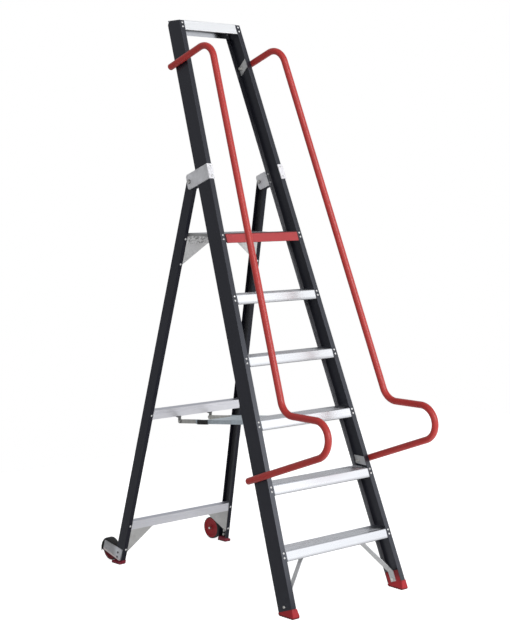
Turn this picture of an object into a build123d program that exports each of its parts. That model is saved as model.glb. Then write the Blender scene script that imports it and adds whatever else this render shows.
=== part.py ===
from build123d import *
import os
from math import atan, sin, cos, sqrt, radians, degrees, hypot

os.makedirs("parts", exist_ok=True)

# ---------------------------------------------------------------------------
# Driving dimensions (mm).  The climbing side faces -Y, +X is the right-hand
# side seen from the front, the floor is Z = 0.
# ---------------------------------------------------------------------------
PITCH = 240.0            # rise from tread to tread, and floor to first tread
TREADS = 5               # plain treads; the platform is the next rise
PLATFORM_Z = PITCH * (TREADS + 1)
Y_MID = 534.63           # depth of the middle of the bounding box behind the
                         # point where the stile front face meets the floor

# front stiles: C channels, open side inward
LEAN = 0.3692            # rearward lean of the front frame, per mm of height
TAPER = 0.0670           # each stile comes in by this, per mm of height
STILE_X = 320.6          # outer web face at the floor
STILE_D = 79.0           # channel depth
STILE_W = 24.0           # flange width
STILE_T = 2.5            # wall
STILE_S0 = 40.0          # square-cut lower end, measured along the stile
TOP_Z = 2313.0           # level-cut upper end
RIVET_X = 307.9          # tread rivet line at the floor

# rear legs: smaller C channels, open side inward
LEAN_R = 0.2308          # forward lean of the rear frame
TAPER_R = 0.0632
LEG_X = 307.6
LEG_D = 50.0
LEG_W = 20.0
LEG_T = 2.0
LEG_Z0 = 16.0            # level-cut lower end
LEG_Y = 1095.1           # front face of the leg at the floor
LEG_RIVET_X = 297.3

# main hinge
PIVOT_Z = 1648.0
PIVOT_R = 5.0

# handrails
TUBE_R = 13.75
TUBE_T = 1.8
RAIL_BEND = 71.5

# wheels
WHEEL_Y = 1187.5
WHEEL_Z = 50.8
WHEEL_R = 50.0
STRAP_BOLT_D = 33.0      # wheel strap bolts, depth and heights on the leg
STRAP_BOLT_S = (21.2, 41.0)

lam = atan(LEAN)
rho = atan(LEAN_R)
cl, sl = cos(lam), sin(lam)
cr, sr = cos(rho), sin(rho)
PIVOT_Y = LEG_Y - LEAN_R * PIVOT_Z + (LEG_D / 2) / cr

n = Vector(0, cl, -sl)            # depth direction of the front frame
nr = Vector(0, cr, sr)            # depth direction of the rear frame
X = Vector(1, 0, 0)


def at(x, y, z):
    return Vector(x, y - Y_MID, z)


def along(sx):
    return Vector(-sx * TAPER, LEAN, 1).normalized()


def inward(sx):
    return along(sx).cross(n) * sx


def along_r(sx):
    return Vector(-sx * TAPER_R, -LEAN_R, 1).normalized()


def inward_r(sx):
    return along_r(sx).cross(nr) * sx


K = sqrt(1 + LEAN**2 + TAPER**2) * cl
K_R = sqrt(1 + LEAN_R**2 + TAPER_R**2) * cr


def sp(sx, d, w, s):
    """Point of a front stile: depth d, inward w, s along the stile."""
    return at(sx * STILE_X, 0, 0) + n * d + inward(sx) * w + along(sx) * (s * K)


def rp(sx, d, w, s):
    """Point of a rear leg: depth d, inward w, s along the leg."""
    return at(sx * LEG_X, LEG_Y, 0) + nr * d + inward_r(sx) * w + along_r(sx) * (s * K_R)


def stile_plane(sx, d, w, s):
    return Plane(origin=sp(sx, d, w, s), x_dir=n, z_dir=along(sx))


def leg_plane(sx, d, w, s):
    return Plane(origin=rp(sx, d, w, s), x_dir=nr, z_dir=along_r(sx))


def web_plane(sx, d, w, s):
    """Plane lying along the stile web: local x is depth, local y runs up."""
    return Plane(origin=sp(sx, d, w, s), x_dir=n, z_dir=n.cross(along(sx)))


def leg_web_plane(sx, d, w, s):
    return Plane(origin=rp(sx, d, w, s), x_dir=nr, z_dir=nr.cross(along_r(sx)))


def facing(p, z):
    return Plane(origin=p, z_dir=z)


def q(d, z):
    """Side-view point of the front frame at depth d and height z."""
    return (LEAN * z + d / cl - Y_MID, z)


def qs(d, s):
    """Side-view point of the front frame at depth d and s along it."""
    return (s * sl + d * cl - Y_MID, s * cl - d * sl)


def qr(d, z):
    """Side-view point of the rear frame at depth d and height z."""
    return (LEG_Y - LEAN_R * z + d / cr - Y_MID, z)


def qrs(d, s):
    return (LEG_Y - s * sr + d * cr - Y_MID, s * cr + d * sr)


def web_x(w, y, z):
    """|x| of the stile plane w inward from the outer web face."""
    i = inward(1)
    return STILE_X + (w - y * i.Y - z * i.Z) / i.X


def leg_x(w, y, z):
    i = inward_r(1)
    return LEG_X + (w - (y - LEG_Y) * i.Y - z * i.Z) / i.X


def strip(points, t):
    """Closed outline of a bent strip of thickness t about a centre line."""
    left, right = [], []
    m = len(points)
    for i in range(m):
        p = points[i]
        dirs = []
        if i > 0:
            a = points[i - 1]
            h = hypot(p[0] - a[0], p[1] - a[1])
            dirs.append(((p[0] - a[0]) / h, (p[1] - a[1]) / h))
        if i < m - 1:
            b = points[i + 1]
            h = hypot(b[0] - p[0], b[1] - p[1])
            dirs.append(((b[0] - p[0]) / h, (b[1] - p[1]) / h))
        nx = sum(-v[1] for v in dirs) / len(dirs)
        ny = sum(v[0] for v in dirs) / len(dirs)
        f = (t / 2) / (nx * nx + ny * ny)
        left.append((p[0] + nx * f, p[1] + ny * f))
        right.append((p[0] - nx * f, p[1] - ny * f))
    return left + right[::-1]


# rivet lines ---------------------------------------------------------------
RIVET_R = 2.4
RIVET_HOLE = 2.45
tread_tops = [PITCH * k for k in range(1, TREADS + 2)]


def front_rivet(sx, z):
    return at(sx * (RIVET_X - TAPER * z), LEAN * z, z)


def rear_rivet(sx, z):
    return sp(sx, STILE_D, 12.7, (z + STILE_D * sl) / cl)


front_points = {}
rear_points = {}
for sx in (1, -1):
    zs = []
    for top in tread_tops:
        zs += [top - 4.0, top - 20.6]
    zs += [TOP_Z - 9.8, TOP_Z - 26.6]
    front_points[sx] = [front_rivet(sx, z) for z in zs]
    rear_points[sx] = [rear_rivet(sx, top - 14.0) for top in tread_tops] + [rear_rivet(sx, TOP_Z - 36.0)]

BRACKET_S = (1802.4 - 32, 1802.4 + 32)
bracket_front = {sx: [sp(sx, 0, 13, 1782), sp(sx, 0, 13, 1822)] for sx in (1, -1)}
bracket_rear = {sx: [sp(sx, STILE_D, 14, 1784), sp(sx, STILE_D, 14, 1820)] for sx in (1, -1)}
RAIL_S = (2294.0, 553.0)
RAIL_BOLT_D = 61.5
FOOT_BOLT = (42.0, 55.0)

leg_rivet_z = (64.0, 169.8, 661.3, 1307.3, 1411.9)


def leg_rivet(sx, z):
    return at(sx * (LEG_RIVET_X - TAPER_R * z), LEG_Y - LEAN_R * z, z)


# ---------------------------------------------------------------------------
# Front stiles
# ---------------------------------------------------------------------------
for sx, side in ((-1, "left"), (1, "right")):
    with BuildPart() as stile:
        with BuildSketch(stile_plane(sx, 0, 0, 0)):
            with Locations((STILE_D / 2, sx * STILE_W / 2)):
                RectangleRounded(STILE_D, STILE_W, 1.6)
            with Locations((STILE_D / 2, sx * (STILE_W / 2 + STILE_T))):
                Rectangle(STILE_D - 2 * STILE_T, STILE_W, mode=Mode.SUBTRACT)
        extrude(amount=2620)
        with BuildSketch(Plane.YZ) as outline:
            with BuildLine():
                Polyline(qs(-6, STILE_S0), qs(STILE_D, STILE_S0), q(STILE_D, TOP_Z), q(-6, TOP_Z), close=True)
            make_face()
            fillet(outline.vertices().sort_by(Axis.Y)[-2:].sort_by(Axis.X)[-1:], 18)
        extrude(amount=420, both=True, mode=Mode.INTERSECT)
        with Locations(*[facing(p, n) for p in front_points[sx] + bracket_front[sx]]):
            Cylinder(RIVET_HOLE, 8, mode=Mode.SUBTRACT)
        with Locations(*[facing(p, n) for p in rear_points[sx] + bracket_rear[sx]]):
            Cylinder(RIVET_HOLE, 8, mode=Mode.SUBTRACT)
        with Locations(*[facing(sp(sx, RAIL_BOLT_D, 1, s), inward(sx)) for s in RAIL_S]):
            Cylinder(4.1, 8, mode=Mode.SUBTRACT)
        with Locations(facing(sp(sx, FOOT_BOLT[0], 1, FOOT_BOLT[1]), inward(sx))):
            Cylinder(4.1, 8, mode=Mode.SUBTRACT)
    stile.part.label = "stile_" + side
    export_step(stile.part, "parts/stile_" + side + ".step")

# ---------------------------------------------------------------------------
# Treads: ribbed extrusions tucked between the stile flanges
# ---------------------------------------------------------------------------
LIP_F = STILE_T
LIP_R = STILE_D - STILE_T
TREAD_H = 38.0            # front height of a plain tread
PLATFORM_H = 35.0         # and of the platform tread
TREAD_HR = 27.0
T_WALL = 2.5


def tread_height(top):
    return PLATFORM_H if top > PLATFORM_Z - 1 else TREAD_H


def tread_outline(top):
    low = top - tread_height(top)
    pts = [q(LIP_F, top), q(LIP_F, low + 5), q(LIP_F + 4, low), q(15, low), q(15, low + 2.4),
           q(8.2, low + 2.4), q(LIP_F + T_WALL, low + 6), q(LIP_F + T_WALL, top - 4),
           q(LIP_R - T_WALL, top - 4), q(LIP_R - T_WALL, top - TREAD_HR + 2.4),
           q(LIP_R - 11, top - TREAD_HR + 2.4), q(LIP_R - 11, top - TREAD_HR), q(LIP_R, top - TREAD_HR),
           q(LIP_R, top)]
    for i in range(10):
        c = 69.0 - 6.2 * i
        pts += [q(c + 1.6, top), q(c + 1.2, top - 1.3), q(c - 1.2, top - 1.3), q(c - 1.6, top)]
    return pts


def tread_half(top):
    return STILE_X - STILE_T - TAPER * top - 3.0


def nose_half(top):
    return 295.4 - TAPER * top


STAY_TREAD = 3
for k, top in enumerate(tread_tops, start=1):
    name = "tread_%d" % k if k <= TREADS else "platform_tread"
    low = top - tread_height(top)
    with BuildPart() as front_edge:
        with BuildSketch(Plane.YZ) as edge_side:
            with BuildLine():
                Polyline(q(0, top - 0.4), q(0, low + 0.3), q(7.6, low + 0.3), q(7.6, low + 2.4), q(4.2, low + 6.5), q(4.2, top - 0.4), close=True)
            make_face()
            fillet(edge_side.vertices().sort_by(Axis.X)[:1], 5.0)
            fillet(edge_side.vertices().sort_by(Axis.Y)[-2:].sort_by(Axis.X)[:1], 1.6)
        extrude(amount=nose_half(top), both=True)
        mid = q(0, (top - 0.4 + low + 0.3) / 2)
        with BuildSketch(Plane(origin=(0, mid[0], mid[1]), x_dir=(1, 0, 0), z_dir=n)):
            RectangleRounded(2 * nose_half(top), (tread_height(top) - 0.7) / cl + 3.0, 5.0)
        extrude(amount=20, both=True, mode=Mode.INTERSECT)
    with BuildPart() as tread:
        with BuildSketch(Plane.YZ):
            with BuildLine():
                Polyline(*tread_outline(top), close=True)
            make_face()
        extrude(amount=tread_half(top), both=True)
        if k <= TREADS:
            add(front_edge.part)
        for sx in (1, -1):
            with Locations(*[facing(p, n) for p in front_points[sx][2 * k - 2:2 * k]]):
                Cylinder(RIVET_HOLE, 14, mode=Mode.SUBTRACT)
            with Locations(facing(rear_points[sx][k - 1], n)):
                Cylinder(RIVET_HOLE, 14, mode=Mode.SUBTRACT)
            with Locations(*[facing(p + n * (LIP_F + T_WALL), n) for p in front_points[sx][2 * k - 2:2 * k]]):
                Cylinder(3.75, 2.4, align=(Align.CENTER, Align.CENTER, Align.MIN), mode=Mode.SUBTRACT)
    tread.part.label = name
    export_step(tread.part, "parts/" + name + ".step")

# top cross-piece: inverted channel closing the frame at the top
CROSS_Z = TOP_Z + 2.0
with BuildPart() as top_cross:
    with BuildSketch(Plane.YZ):
        with BuildLine():
            Polyline(q(LIP_F, CROSS_Z), q(LIP_F, CROSS_Z - 40.5), q(12, CROSS_Z - 40.5), q(12, CROSS_Z - 38.1),
                     q(LIP_F + T_WALL, CROSS_Z - 38.1), q(LIP_F + T_WALL, CROSS_Z - 3.0),
                     q(LIP_R - T_WALL, CROSS_Z - 3.0), q(LIP_R - T_WALL, CROSS_Z - 56.5),
                     q(LIP_R, CROSS_Z - 56.5), q(LIP_R, CROSS_Z), close=True)
        make_face()
    extrude(amount=tread_half(TOP_Z), both=True)
    mid = q(0, CROSS_Z - 20.25)
    with BuildSketch(Plane(origin=(0, mid[0], mid[1]), x_dir=(1, 0, 0), z_dir=n)):
        RectangleRounded(2 * 140.2, 40.5 / cl - 1.0, 4.0)
    extrude(amount=3.4)
    fillet(top_cross.faces().filter_by(lambda f: abs((f.center() - at(0, 0, 0)).dot(n)) < 0.01 and f.area > 5000).edges(), 2.0)
    for sx in (1, -1):
        with Locations(*[facing(p, n) for p in front_points[sx][12:14]]):
            Cylinder(RIVET_HOLE, 14, mode=Mode.SUBTRACT)
        with Locations(facing(rear_points[sx][6], n)):
            Cylinder(RIVET_HOLE, 14, mode=Mode.SUBTRACT)
top_cross.part.label = "top_cross_piece"
export_step(top_cross.part, "parts/top_cross_piece.step")

# nosing strip on the front edge of the platform
with BuildPart() as nosing:
    with BuildSketch(Plane.YZ) as nose_side:
        with BuildLine():
            Polyline(q(-1.0, PLATFORM_Z + 1.8), q(-1.0, PLATFORM_Z - 36.6), q(4, PLATFORM_Z - 36.6), q(4, PLATFORM_Z - PLATFORM_H),
                     q(LIP_F, PLATFORM_Z - PLATFORM_H), q(LIP_F, PLATFORM_Z), q(5.4, PLATFORM_Z), q(5.4, PLATFORM_Z + 1.8), close=True)
        make_face()
        fillet(nose_side.vertices().sort_by(Axis.Y)[:2].sort_by(Axis.X)[:1], 1.4)
        fillet(nose_side.vertices().sort_by(Axis.Y)[-2:].sort_by(Axis.X)[:1], 1.6)
    extrude(amount=199.0, both=True)
    mid = q(0, PLATFORM_Z - 17.4)
    with BuildSketch(Plane(origin=(0, mid[0], mid[1]), x_dir=(1, 0, 0), z_dir=n)):
        RectangleRounded(398.0, 38.4 / cl + 0.4, 6.0)
    extrude(amount=20, both=True, mode=Mode.INTERSECT)
nosing.part.label = "platform_nosing"
export_step(nosing.part, "parts/platform_nosing.step")

# ---------------------------------------------------------------------------
# Main hinge: outer bracket wrapped round the stile, inner plate, bolt
# ---------------------------------------------------------------------------
PLATE_T = 4.0
INNER_W = (25.5, 29.0)
for sx, side in ((-1, "left"), (1, "right")):
    with BuildPart() as bracket:
        with BuildSketch(stile_plane(sx, 0, 0, BRACKET_S[0])):
            with BuildLine():
                Polyline((-PLATE_T, -sx * PLATE_T), (139, -sx * PLATE_T), (139, 0), (0, 0), (0, sx * STILE_W),
                         (-PLATE_T, sx * STILE_W), close=True)
            make_face()
        extrude(amount=(BRACKET_S[1] - BRACKET_S[0]) * K)
        with BuildSketch(web_plane(sx, 0, 0, 1802.4)) as plate_side:
            with Locations((67, 0)):
                Rectangle(146, 64.2)
            fillet(plate_side.vertices().sort_by(Axis.X)[-2:], 13)
        extrude(amount=60, both=True, mode=Mode.INTERSECT)
        fillet(bracket.edges().filter_by(lambda e: e.length > 55 and abs(e.center().X - sp(sx, -PLATE_T, -PLATE_T, 1802.4).X) < 1.0
                                         and abs(e.center().Y - sp(sx, -PLATE_T, -PLATE_T, 1802.4).Y) < 1.0), 3.0)
        with Locations(Plane(origin=at(sx * 205, PIVOT_Y, PIVOT_Z), z_dir=X)):
            Cylinder(PIVOT_R + 0.02, 60, mode=Mode.SUBTRACT)
        with Locations(*[facing(p, n) for p in bracket_front[sx]]):
            Cylinder(RIVET_HOLE, 14, mode=Mode.SUBTRACT)
    bracket.part.label = "hinge_bracket_" + side
    export_step(bracket.part, "parts/hinge_bracket_" + side + ".step")

    with BuildPart() as inner:
        with BuildSketch(stile_plane(sx, 0, 0, BRACKET_S[0] + 1)):
            with BuildLine():
                Polyline((STILE_D, sx * 4), (STILE_D + 3.0, sx * 4), (STILE_D + 3.0, sx * INNER_W[0]), (139, sx * INNER_W[0]),
                         (139, sx * INNER_W[1]), (STILE_D, sx * INNER_W[1]), close=True)
            make_face()
        extrude(amount=62 * K)
        with BuildSketch(web_plane(sx, 0, 0, 1802.4)) as inner_side:
            with Locations((100, 0)):
                Rectangle(78, 64.2)
            fillet(inner_side.vertices().sort_by(Axis.X)[-2:], 13)
        extrude(amount=60, both=True, mode=Mode.INTERSECT)
        with Locations(Plane(origin=at(sx * 185, PIVOT_Y, PIVOT_Z), z_dir=X)):
            Cylinder(PIVOT_R + 0.02, 60, mode=Mode.SUBTRACT)
        with Locations(*[facing(p, n) for p in bracket_rear[sx]]):
            Cylinder(RIVET_HOLE, 20, mode=Mode.SUBTRACT)
    inner.part.label = "hinge_inner_plate_" + side
    export_step(inner.part, "parts/hinge_inner_plate_" + side + ".step")

with BuildPart() as hinge_bolts:
    for sx in (-1, 1):
        x_out = web_x(-PLATE_T, PIVOT_Y, PIVOT_Z)
        x_in = web_x(INNER_W[1], PIVOT_Y, PIVOT_Z)
        with BuildSketch(Plane(origin=at(sx * x_out, PIVOT_Y, PIVOT_Z), x_dir=n, z_dir=inward(sx) * -1)):
            Circle(9.0)
        extrude(amount=1.6)
        with BuildSketch(Plane(origin=at(sx * x_out, PIVOT_Y, PIVOT_Z) - inward(sx) * 1.6, x_dir=n, z_dir=inward(sx) * -1)):
            RegularPolygon(7.6, 6)
        extrude(amount=5.0)
        with BuildSketch(Plane(origin=at(sx * x_in, PIVOT_Y, PIVOT_Z), x_dir=n, z_dir=inward(sx))):
            RegularPolygon(8.2, 6)
        extrude(amount=7.0)
        with BuildSketch(Plane(origin=at(sx * (x_in - 9), PIVOT_Y, PIVOT_Z), z_dir=X * sx)):
            Circle(PIVOT_R)
        extrude(amount=x_out - x_in + 9 + 2)
hinge_bolts.part.label = "hinge_bolts"
export_step(hinge_bolts.part, "parts/hinge_bolts.step")

# ---------------------------------------------------------------------------
# Handrails: one bent tube each side, bolted through the stile web
# ---------------------------------------------------------------------------
RAIL_W = -(TUBE_R + 0.05)
RAIL_Z = 768.5
iz = inward(1).Z


def rail_s(d, z):
    return (z + d * sl - RAIL_W * iz) / cl


def rail_d(s, z):
    return (s * cl + RAIL_W * iz - z) / sl


RAIL_END = 93.0
RAIL_D = -177.6
rail_points = [(RAIL_END, RAIL_S[0]), (RAIL_D, RAIL_S[0]), (RAIL_D, rail_s(RAIL_D, RAIL_Z)),
               (rail_d(RAIL_S[1], RAIL_Z), RAIL_S[1]), (RAIL_END, RAIL_S[1])]
for sx, side in ((-1, "left"), (1, "right")):
    with BuildPart() as rail:
        with BuildLine(web_plane(sx, 0, RAIL_W, 0)) as path:
            FilletPolyline(*[(d, s * K) for d, s in rail_points], radius=RAIL_BEND)
        with BuildSketch(Plane(origin=path.line @ 0, z_dir=path.line % 0)):
            Circle(TUBE_R)
            Circle(TUBE_R - TUBE_T, mode=Mode.SUBTRACT)
        sweep(path=path.line)
        with Locations(*[Plane(origin=sp(sx, RAIL_BOLT_D, 0, s), z_dir=inward(sx)) for s in RAIL_S]):
            Cylinder(4.1, 2 * TUBE_R - 4, mode=Mode.SUBTRACT)
    rail.part.label = "handrail_" + side
    export_step(rail.part, "parts/handrail_" + side + ".step")

with BuildPart() as caps:
    for sx in (-1, 1):
        for s in RAIL_S:
            with BuildSketch(Plane(origin=sp(sx, RAIL_END - 12, RAIL_W, s), z_dir=n)):
                Circle(TUBE_R - TUBE_T - 0.05)
            extrude(amount=12)
            with BuildSketch(Plane(origin=sp(sx, RAIL_END, RAIL_W, s), z_dir=n)):
                Circle(TUBE_R)
            extrude(amount=5.0)
    fillet(caps.edges().filter_by(GeomType.CIRCLE).filter_by(
        lambda e: any((e.arc_center - sp(sx, RAIL_END + 5.0, RAIL_W, s)).length < 0.5 for sx in (-1, 1) for s in RAIL_S)), 4.2)
caps.part.label = "handrail_caps"
export_step(caps.part, "parts/handrail_caps.step")

with BuildPart() as backing:
    for sx in (-1, 1):
        for s, shear, lift in ((RAIL_S[0], 0.43, -8.0), (RAIL_S[1], -0.40, 7.5)):
            with BuildSketch(web_plane(sx, RAIL_BOLT_D, STILE_T, s)):
                with BuildLine():
                    Polyline(*[(d - RAIL_BOLT_D, (RAIL_BOLT_D - d) * shear + lift + h)
                               for d, h in ((9.0, -18.5), (71.0, -18.5), (71.0, 18.5), (9.0, 18.5))], close=True)
                make_face()
                Circle(4.1, mode=Mode.SUBTRACT)
            extrude(amount=-sx * 4)
backing.part.label = "backing_plates"
export_step(backing.part, "parts/backing_plates.step")

with BuildPart() as rail_bolts:
    for sx in (-1, 1):
        for s in RAIL_S:
            with BuildSketch(Plane(origin=sp(sx, RAIL_BOLT_D, STILE_T + 4, s), x_dir=n, z_dir=inward(sx))):
                Circle(8.5)
            extrude(amount=1.5)
            with BuildSketch(Plane(origin=sp(sx, RAIL_BOLT_D, STILE_T + 5.5, s), x_dir=n, z_dir=inward(sx))):
                RegularPolygon(7.5, 6)
            extrude(amount=5.0)
            with BuildSketch(Plane(origin=sp(sx, RAIL_BOLT_D, STILE_T + 6, s), x_dir=n, z_dir=inward(sx))):
                Circle(4.0)
            extrude(amount=-(STILE_T + 6 + 10))
rail_bolts.part.label = "handrail_bolts"
export_step(rail_bolts.part, "parts/handrail_bolts.step")

# ---------------------------------------------------------------------------
# Front feet, with a plug reaching up inside the channel
# ---------------------------------------------------------------------------
for sx, side in ((-1, "left"), (1, "right")):
    with BuildPart() as foot:
        with BuildSketch(web_plane(sx, 0, 35.0, 0)) as shoe:
            with BuildLine():
                Polyline((-1.6, STILE_S0 * K), (-1.6, -20), (STILE_D + 1.2, -20), (STILE_D + 1.2, STILE_S0 * K), close=True)
            make_face()
        extrude(amount=sx * 37.4)
        with BuildSketch(web_plane(sx, 0, 23.0, 0)):
            with Locations((STILE_D / 2, (STILE_S0 + 23) * K)):
                Rectangle(STILE_D - 2 * STILE_T - 0.1, 46.4 * K)
        extrude(amount=sx * 20.45)
        with BuildSketch(Plane.YZ.offset(sx * 300)):
            with BuildLine():
                Polyline((5 - Y_MID, 0), (79 - Y_MID, 0), (89 - Y_MID, 7), qs(STILE_D + 3, STILE_S0 + 60), qs(-3, STILE_S0 + 60),
                         qs(-3, 11), close=True)
            make_face()
        extrude(amount=60, both=True, mode=Mode.INTERSECT)
        with BuildSketch(Plane(origin=sp(sx, 0, 0, 0), x_dir=inward(sx), z_dir=n * sx)):
            with BuildLine():
                Polyline((-4, -40), (42.8, -40), (25.0, STILE_S0 * K), (25.0, 110), (-4, 110), close=True)
            make_face()
        extrude(amount=120, both=True, mode=Mode.INTERSECT)
        with BuildSketch(stile_plane(sx, 0, 0, -30)):
            with Locations((STILE_D / 2 - 0.2, sx * 17.6)):
                RectangleRounded(STILE_D + 2.8, 40.0, 4.0)
        extrude(amount=160, mode=Mode.INTERSECT)
        with Locations(facing(sp(sx, FOOT_BOLT[0], 12, FOOT_BOLT[1]), inward(sx))):
            Cylinder(4.1, 40, mode=Mode.SUBTRACT)
        for i in range(5):
            with BuildSketch(Plane.XZ.offset(-(18 + 13 * i - Y_MID))):
                with Locations((sx * 305, 0)):
                    Rectangle(60, 3)
            extrude(amount=4, mode=Mode.SUBTRACT)
    foot.part.label = "front_foot_" + side
    export_step(foot.part, "parts/front_foot_" + side + ".step")

# ---------------------------------------------------------------------------
# Lower braces from the first tread down to the stile ends
# ---------------------------------------------------------------------------
BRACE_D = (28.5, 55.5)
BRACE_W0 = 23.05
UNDER = PITCH - 4.0
for sx, side in ((-1, "left"), (1, "right")):
    with BuildPart() as brace:
        with BuildSketch(Plane(origin=sp(sx, BRACE_D[0], 0, 0), x_dir=inward(sx), z_dir=n * sx)):
            with BuildLine():
                Polyline(*strip([(BRACE_W0 + 1.5, 44 * K), (BRACE_W0 + 1.5, 86 * K), (176, 281 * K)], 3.0), close=True)
            make_face()
        extrude(amount=sx * (BRACE_D[1] - BRACE_D[0]))
        with BuildSketch(Plane.XY.offset(UNDER - 2.0)):
            with Locations((sx * 150, q(40, UNDER)[0])):
                Rectangle(200, 120)
        extrude(amount=60, mode=Mode.SUBTRACT)
        with BuildSketch(Plane.XY.offset(UNDER - 3.0)):
            with Locations((sx * 134, q(42, UNDER)[0])):
                Rectangle(44, 27)
        extrude(amount=3.0)
        with Locations(facing(sp(sx, FOOT_BOLT[0], 24, FOOT_BOLT[1]), inward(sx))):
            Cylinder(4.1, 10, mode=Mode.SUBTRACT)
    brace.part.label = "lower_brace_" + side
    export_step(brace.part, "parts/lower_brace_" + side + ".step")

with BuildPart() as foot_bolts:
    for sx in (-1, 1):
        with BuildSketch(Plane(origin=sp(sx, FOOT_BOLT[0], 0, FOOT_BOLT[1]), x_dir=n, z_dir=inward(sx) * -1)):
            Circle(5.7)
        extrude(amount=3.0, taper=30)
        with BuildSketch(Plane(origin=sp(sx, FOOT_BOLT[0], 0, FOOT_BOLT[1]) - inward(sx) * 0.5, x_dir=n, z_dir=inward(sx))):
            Circle(4.0)
        extrude(amount=BRACE_W0 + 3 + 6)
        with BuildSketch(Plane(origin=sp(sx, FOOT_BOLT[0], BRACE_W0 + 3.05, FOOT_BOLT[1]), x_dir=n, z_dir=inward(sx))):
            RegularPolygon(7.2, 6)
        extrude(amount=5.0)
foot_bolts.part.label = "foot_bolts"
export_step(foot_bolts.part, "parts/foot_bolts.step")

# ---------------------------------------------------------------------------
# Stay: front channel hinged behind the third tread, rear bail under the beam
# ---------------------------------------------------------------------------
STAY_Z = 685.0
STAY_DEPTH = STILE_D + 10.7
STAY_Y = LEAN * STAY_Z + STAY_DEPTH / cl
BAIL_Y = 962.0
BAIL_Z = 617.0
BAIL_L = 135.0
span = hypot(BAIL_Y - STAY_Y, BAIL_Z - STAY_Z)
ey, ez = (BAIL_Y - STAY_Y) / span, (BAIL_Z - STAY_Z) / span
HOOK = span - BAIL_L
ARM = 9.0
FLANGE_X = (89.5, 93.5)
BAIL_X = (81.0, 85.0)
LUG_X = (86.0, 89.0)


def stay_plane(x):
    return Plane(origin=at(x, STAY_Y, STAY_Z), x_dir=(0, ey, ez), z_dir=X)


def bail_plane(x):
    return Plane(origin=at(x, BAIL_Y, BAIL_Z), x_dir=(0, ey, ez), z_dir=X)


with BuildPart() as stay:
    for x0 in (FLANGE_X[0], -FLANGE_X[1]):
        with BuildSketch(stay_plane(x0)):
            with Locations(((HOOK + 18) / 2, 0)):
                Rectangle(HOOK + 18, 2 * ARM)
            Circle(ARM)
            Circle(4.05, mode=Mode.SUBTRACT)
            with BuildLine():
                Polyline((HOOK + 4.5, -10), (HOOK + 4.5, 4.5), (HOOK - 5.0, 4.5), (HOOK - 6.6, 0), (HOOK - 16, -10), close=True)
            make_face(mode=Mode.SUBTRACT)
        extrude(amount=FLANGE_X[1] - FLANGE_X[0])
    with BuildSketch(stay_plane(-FLANGE_X[0])):
        with Locations(((36 + HOOK - 62) / 2, ARM - 1.0)):
            Rectangle(HOOK - 62 - 36, 2.0)
    extrude(amount=2 * FLANGE_X[0])
stay.part.label = "stay_channel"
export_step(stay.part, "parts/stay_channel.step")

with BuildPart() as grip:
    with BuildSketch(Plane(origin=at(0, STAY_Y, STAY_Z) + Vector(0, ey, ez) * (HOOK - 61), x_dir=(1, 0, 0), z_dir=(0, ey, ez))):
        with BuildLine():
            Polyline((-FLANGE_X[1], ARM), (-FLANGE_X[0] + 0.2, ARM), (-FLANGE_X[0] + 0.2, ARM + 2), (-FLANGE_X[1] - 4, ARM + 2),
                     (-FLANGE_X[1] - 4, -ARM + 0.5), (-FLANGE_X[1], -ARM + 0.5), close=True)
        make_face()
    extrude(amount=64.5)
grip.part.label = "stay_grip"
export_step(grip.part, "parts/stay_grip.step")

with BuildPart() as bail:
    for x0 in (BAIL_X[0], -BAIL_X[1]):
        with BuildSketch(bail_plane(x0)):
            with Locations((-BAIL_L / 2, 0)):
                Rectangle(BAIL_L, 18)
            Circle(9)
            with Locations((-BAIL_L, 0)):
                Circle(9)
            Circle(4.05, mode=Mode.SUBTRACT)
        extrude(amount=BAIL_X[1] - BAIL_X[0])
    with BuildSketch(bail_plane(-FLANGE_X[1] + 0.3)):
        with Locations((-BAIL_L, 0)):
            Circle(4.0)
    extrude(amount=2 * FLANGE_X[1] - 0.6)
bail.part.label = "stay_bail"
export_step(bail.part, "parts/stay_bail.step")

# ears behind the third tread and the pin through them
LUG_TOP = PITCH * STAY_TREAD
EAR_X = (94.2, 98.2)
with BuildPart() as stay_ears:
    for sx in (-1, 1):
        with BuildSketch(Plane.YZ.offset(sx * EAR_X[0])):
            with BuildLine():
                Polyline(q(LIP_R, LUG_TOP - 4), q(LIP_R, LUG_TOP - TREAD_HR - 14), (STAY_Y - Y_MID, STAY_Z - 8),
                         (STAY_Y - Y_MID + 7, STAY_Z + 4), q(LIP_R + 6, LUG_TOP - 4), close=True)
            make_face()
            with Locations((STAY_Y - Y_MID, STAY_Z)):
                Circle(8)
                Circle(4.02, mode=Mode.SUBTRACT)
        extrude(amount=sx * (EAR_X[1] - EAR_X[0]))
        tab = q(LIP_R, LUG_TOP - 14)
        with BuildSketch(Plane(origin=(sx * 109, tab[0], tab[1]), x_dir=(1, 0, 0), z_dir=n)):
            Rectangle(30, 22)
        extrude(amount=3.0)
stay_ears.part.label = "stay_ears"
export_step(stay_ears.part, "parts/stay_ears.step")

with BuildPart() as stay_pin:
    with BuildSketch(Plane.YZ.offset(-102)):
        with Locations((STAY_Y - Y_MID, STAY_Z)):
            Circle(4.0)
    extrude(amount=204)
    for x0, a in ((98.3, 3.5), (-98.3, -3.5)):
        with BuildSketch(Plane.YZ.offset(x0)):
            with Locations((STAY_Y - Y_MID, STAY_Z)):
                Circle(6.0)
        extrude(amount=a)
stay_pin.part.label = "stay_pin"
export_step(stay_pin.part, "parts/stay_pin.step")

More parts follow.
